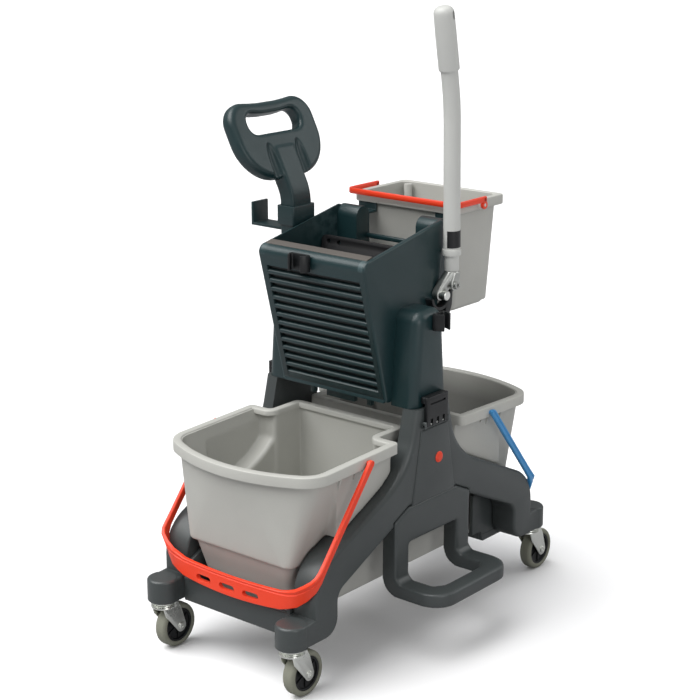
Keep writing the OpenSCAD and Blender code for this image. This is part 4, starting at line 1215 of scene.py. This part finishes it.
def on_head(off, y, up):
    """A point of the head: out of its face, across it, and up along its lean."""
    return at(MAST_X + off * HEAD_COS - up * HEAD_SIN, MAST_Y + y,
              HEAD_Z + off * HEAD_SIN + up * HEAD_COS)


def sagged(half_width, top):
    return [(u, top - SAG * (1 - (u / half_width) ** 2))
            for u in (half_width * 0.7, half_width * 0.35)]


def scoop(s):
    """A hollow beside the neck, where the head runs into it."""
    clear()
    bpy.ops.mesh.primitive_uv_sphere_add(segments=32, ring_count=20, radius=MM)
    ob = named("scoop")
    turn = Matrix.Rotation(-HEAD_LEAN, 4, "Y") @ Matrix.Diagonal(SCOOP_SIZE)
    spot = on_head(HEAD_T / 2 + 1, s * SCOOP_Y, SCOOP_UP)
    ob.data.transform(Matrix.Translation(spot) @ turn)
    return ob


def head():
    line = arc(HEAD_X - BELLY_R, HEAD_FOOT + BELLY_R, BELLY_R, -90, 0, 16)
    line += arc(HEAD_X - LOBE_R, HEAD_TOP - LOBE_R, LOBE_R, 0, 90, 12)
    line = both(line + sagged(SAG_HALF, HEAD_TOP))
    through = on_head(HEAD_T, 0, 0) - on_head(0, 0, 0)
    ob = plate("push_handle_dressed", [on_head(-HEAD_T / 2, u, v) for u, v in line], through)
    hole = arc(46, 126, 18, -90, 0, 6) + arc(48, 130, 16, 0, 90, 6) + sagged(HOLE_HALF, HOLE_TOP)
    carve(ob, plate("hole", [on_head(-HEAD_T, u, v) for u, v in both(hole)], through * 2))

    def edge(e):
        c = middle(e) - Vector((MAST_X, MAST_Y, HEAD_Z))
        up = c.z * HEAD_COS - c.x * HEAD_SIN
        in_hole = abs(c.y) < 66 and 104 < up < HOLE_TOP + 3
        return angled(e, 50) * (HOLE_SHARE if in_hole else 1)

    soften(ob, HEAD_ROUND, edge, 5)
    return carve(ob, scoop(-1), scoop(1))


def mast():
    t = MAST_T / 2
    side = [(-t, MAST_FOOT), (t, MAST_FOOT)] + arc(-NECK_R, NECK_Z, NECK_R + t, 0, HEAD_A, 12)
    side += [(off * HEAD_COS - HEAD_REACH * HEAD_SIN,
              HEAD_Z + off * HEAD_SIN + HEAD_REACH * HEAD_COS) for off in (t, -t)]
    side += arc(-NECK_R, NECK_Z, NECK_R - t, HEAD_A, 0, 12)
    side = [at(MAST_X + u, MAST_Y - MAST_W / 2, v) for u, v in side]

    def long_edge(e):
        return sharp(e) and abs(run(e).y) < 0.1 and middle(e).z > MAST_FOOT + 1

    return round_edges(plate("mast", side, way(0, MAST_W, 0)), 3.5, long_edge)


handle = mould(weld(head(), mast()), 1.7, 8)
fit(handle, "chassis", PRESS, "push_handle", smooth=60)
dress("hook_collar", PRESS, 1.2)

# ------------ floor, light and camera

# The floor and the sky are near white to the camera, and greyer to the light they send back
FLOOR_SIZE, FLOOR_DROP = 60, -0.0005
PAPER = (0.93, 0.93, 0.94, 1), (0.96, 0.96, 0.96, 1)
BOUNCE = (0.4, 0.4, 0.41, 1)
SKY_LOW, SKY_HIGH = 0.13, 0.6
SUN_POWER, SUN_SPREAD, SUN_WAY = 3.5, math.radians(60), (0.34, 0.52, -1.0)
# The camera that was fitted to the photograph
CAMERA_PLACE, CAMERA_ANGLE = (1.7277, -2.15655, 1.2586), math.radians(23.04)
CAMERA_TURN = math.radians(74.02), 0, math.radians(39.46)

clear()
bpy.ops.mesh.primitive_grid_add(x_subdivisions=8, y_subdivisions=8, size=FLOOR_SIZE,
                                location=(0, 0, FLOOR_DROP))
floor = named("floor")
floor_mat = bpy.data.materials.new("studio_floor")
floor_mat.use_nodes = True
fn, fl = floor_mat.node_tree.nodes, floor_mat.node_tree.links
paper = preset(fn.new("ShaderNodeTexNoise"), {"Scale": 6.0})
tint = fn.new("ShaderNodeValToRGB")
for element, colour in zip(tint.color_ramp.elements, PAPER):
    element.color = colour
bounce = fn.new("ShaderNodeMix")
bounce.data_type = "RGBA"
bounce.inputs["A"].default_value = BOUNCE
shader = preset(fn["Principled BSDF"], {"Roughness": 0.9, "Specular IOR Level": 0.1})
fl.new(fn.new("ShaderNodeTexCoord").outputs["Object"], paper.inputs["Vector"])
fl.new(paper.outputs["Fac"], tint.inputs["Fac"])
fl.new(fn.new("ShaderNodeLightPath").outputs["Is Camera Ray"], bounce.inputs["Factor"])
fl.new(tint.outputs["Color"], bounce.inputs["B"])
fl.new(bounce.outputs["Result"], shader.inputs["Base Color"])
floor.data.materials.append(floor_mat)

sky = bpy.data.worlds.new("studio_sky")
sky.use_nodes = True
sn, sl = sky.node_tree.nodes, sky.node_tree.links
up_way = sn.new("ShaderNodeSeparateXYZ")
glow = preset(sn.new("ShaderNodeMapRange"), {"To Min": SKY_LOW, "To Max": SKY_HIGH})
backdrop = sn.new("ShaderNodeMath")
air = preset(sn["Background"], {"Color": (1, 1, 1, 1)})
sl.new(sn.new("ShaderNodeTexCoord").outputs["Generated"], up_way.inputs[0])
sl.new(up_way.outputs["Z"], glow.inputs["Value"])
sl.new(glow.outputs["Result"], backdrop.inputs[0])
sl.new(sn.new("ShaderNodeLightPath").outputs["Is Camera Ray"], backdrop.inputs[1])
sl.new(backdrop.outputs[0], air.inputs["Strength"])
bpy.context.scene.world = sky
bpy.context.scene.view_settings.view_transform = "Standard"


def facing(direction):
    return Vector(direction).to_track_quat("-Z", "Y").to_euler()


def soft_box(name, place, aim, size, power):
    light = bpy.data.lights.new(name, "AREA")
    light.shape = "RECTANGLE"
    light.size, light.size_y = size
    light.energy = power
    ob = link(name, light)
    ob.location = place
    ob.rotation_euler = facing(Vector(aim) - Vector(place))


key = bpy.data.lights.new("key_sky", "SUN")
key.energy, key.angle = SUN_POWER, SUN_SPREAD
link("key_sky", key).rotation_euler = facing(SUN_WAY)
soft_box("fill_box", (2.9, -1.4, 1.5), (0, 0, 0.45), (1.2, 2.0), 20)
soft_box("back_box", (2.0, 2.6, 2.0), (0, 0, 0.6), (1.8, 1.4), 15)

lens = bpy.data.cameras.new("photo_camera")
lens.sensor_fit = "HORIZONTAL"
lens.angle = CAMERA_ANGLE
camera = link("photo_camera", lens)
camera.location, camera.rotation_euler = CAMERA_PLACE, CAMERA_TURN
bpy.context.scene.camera = camera
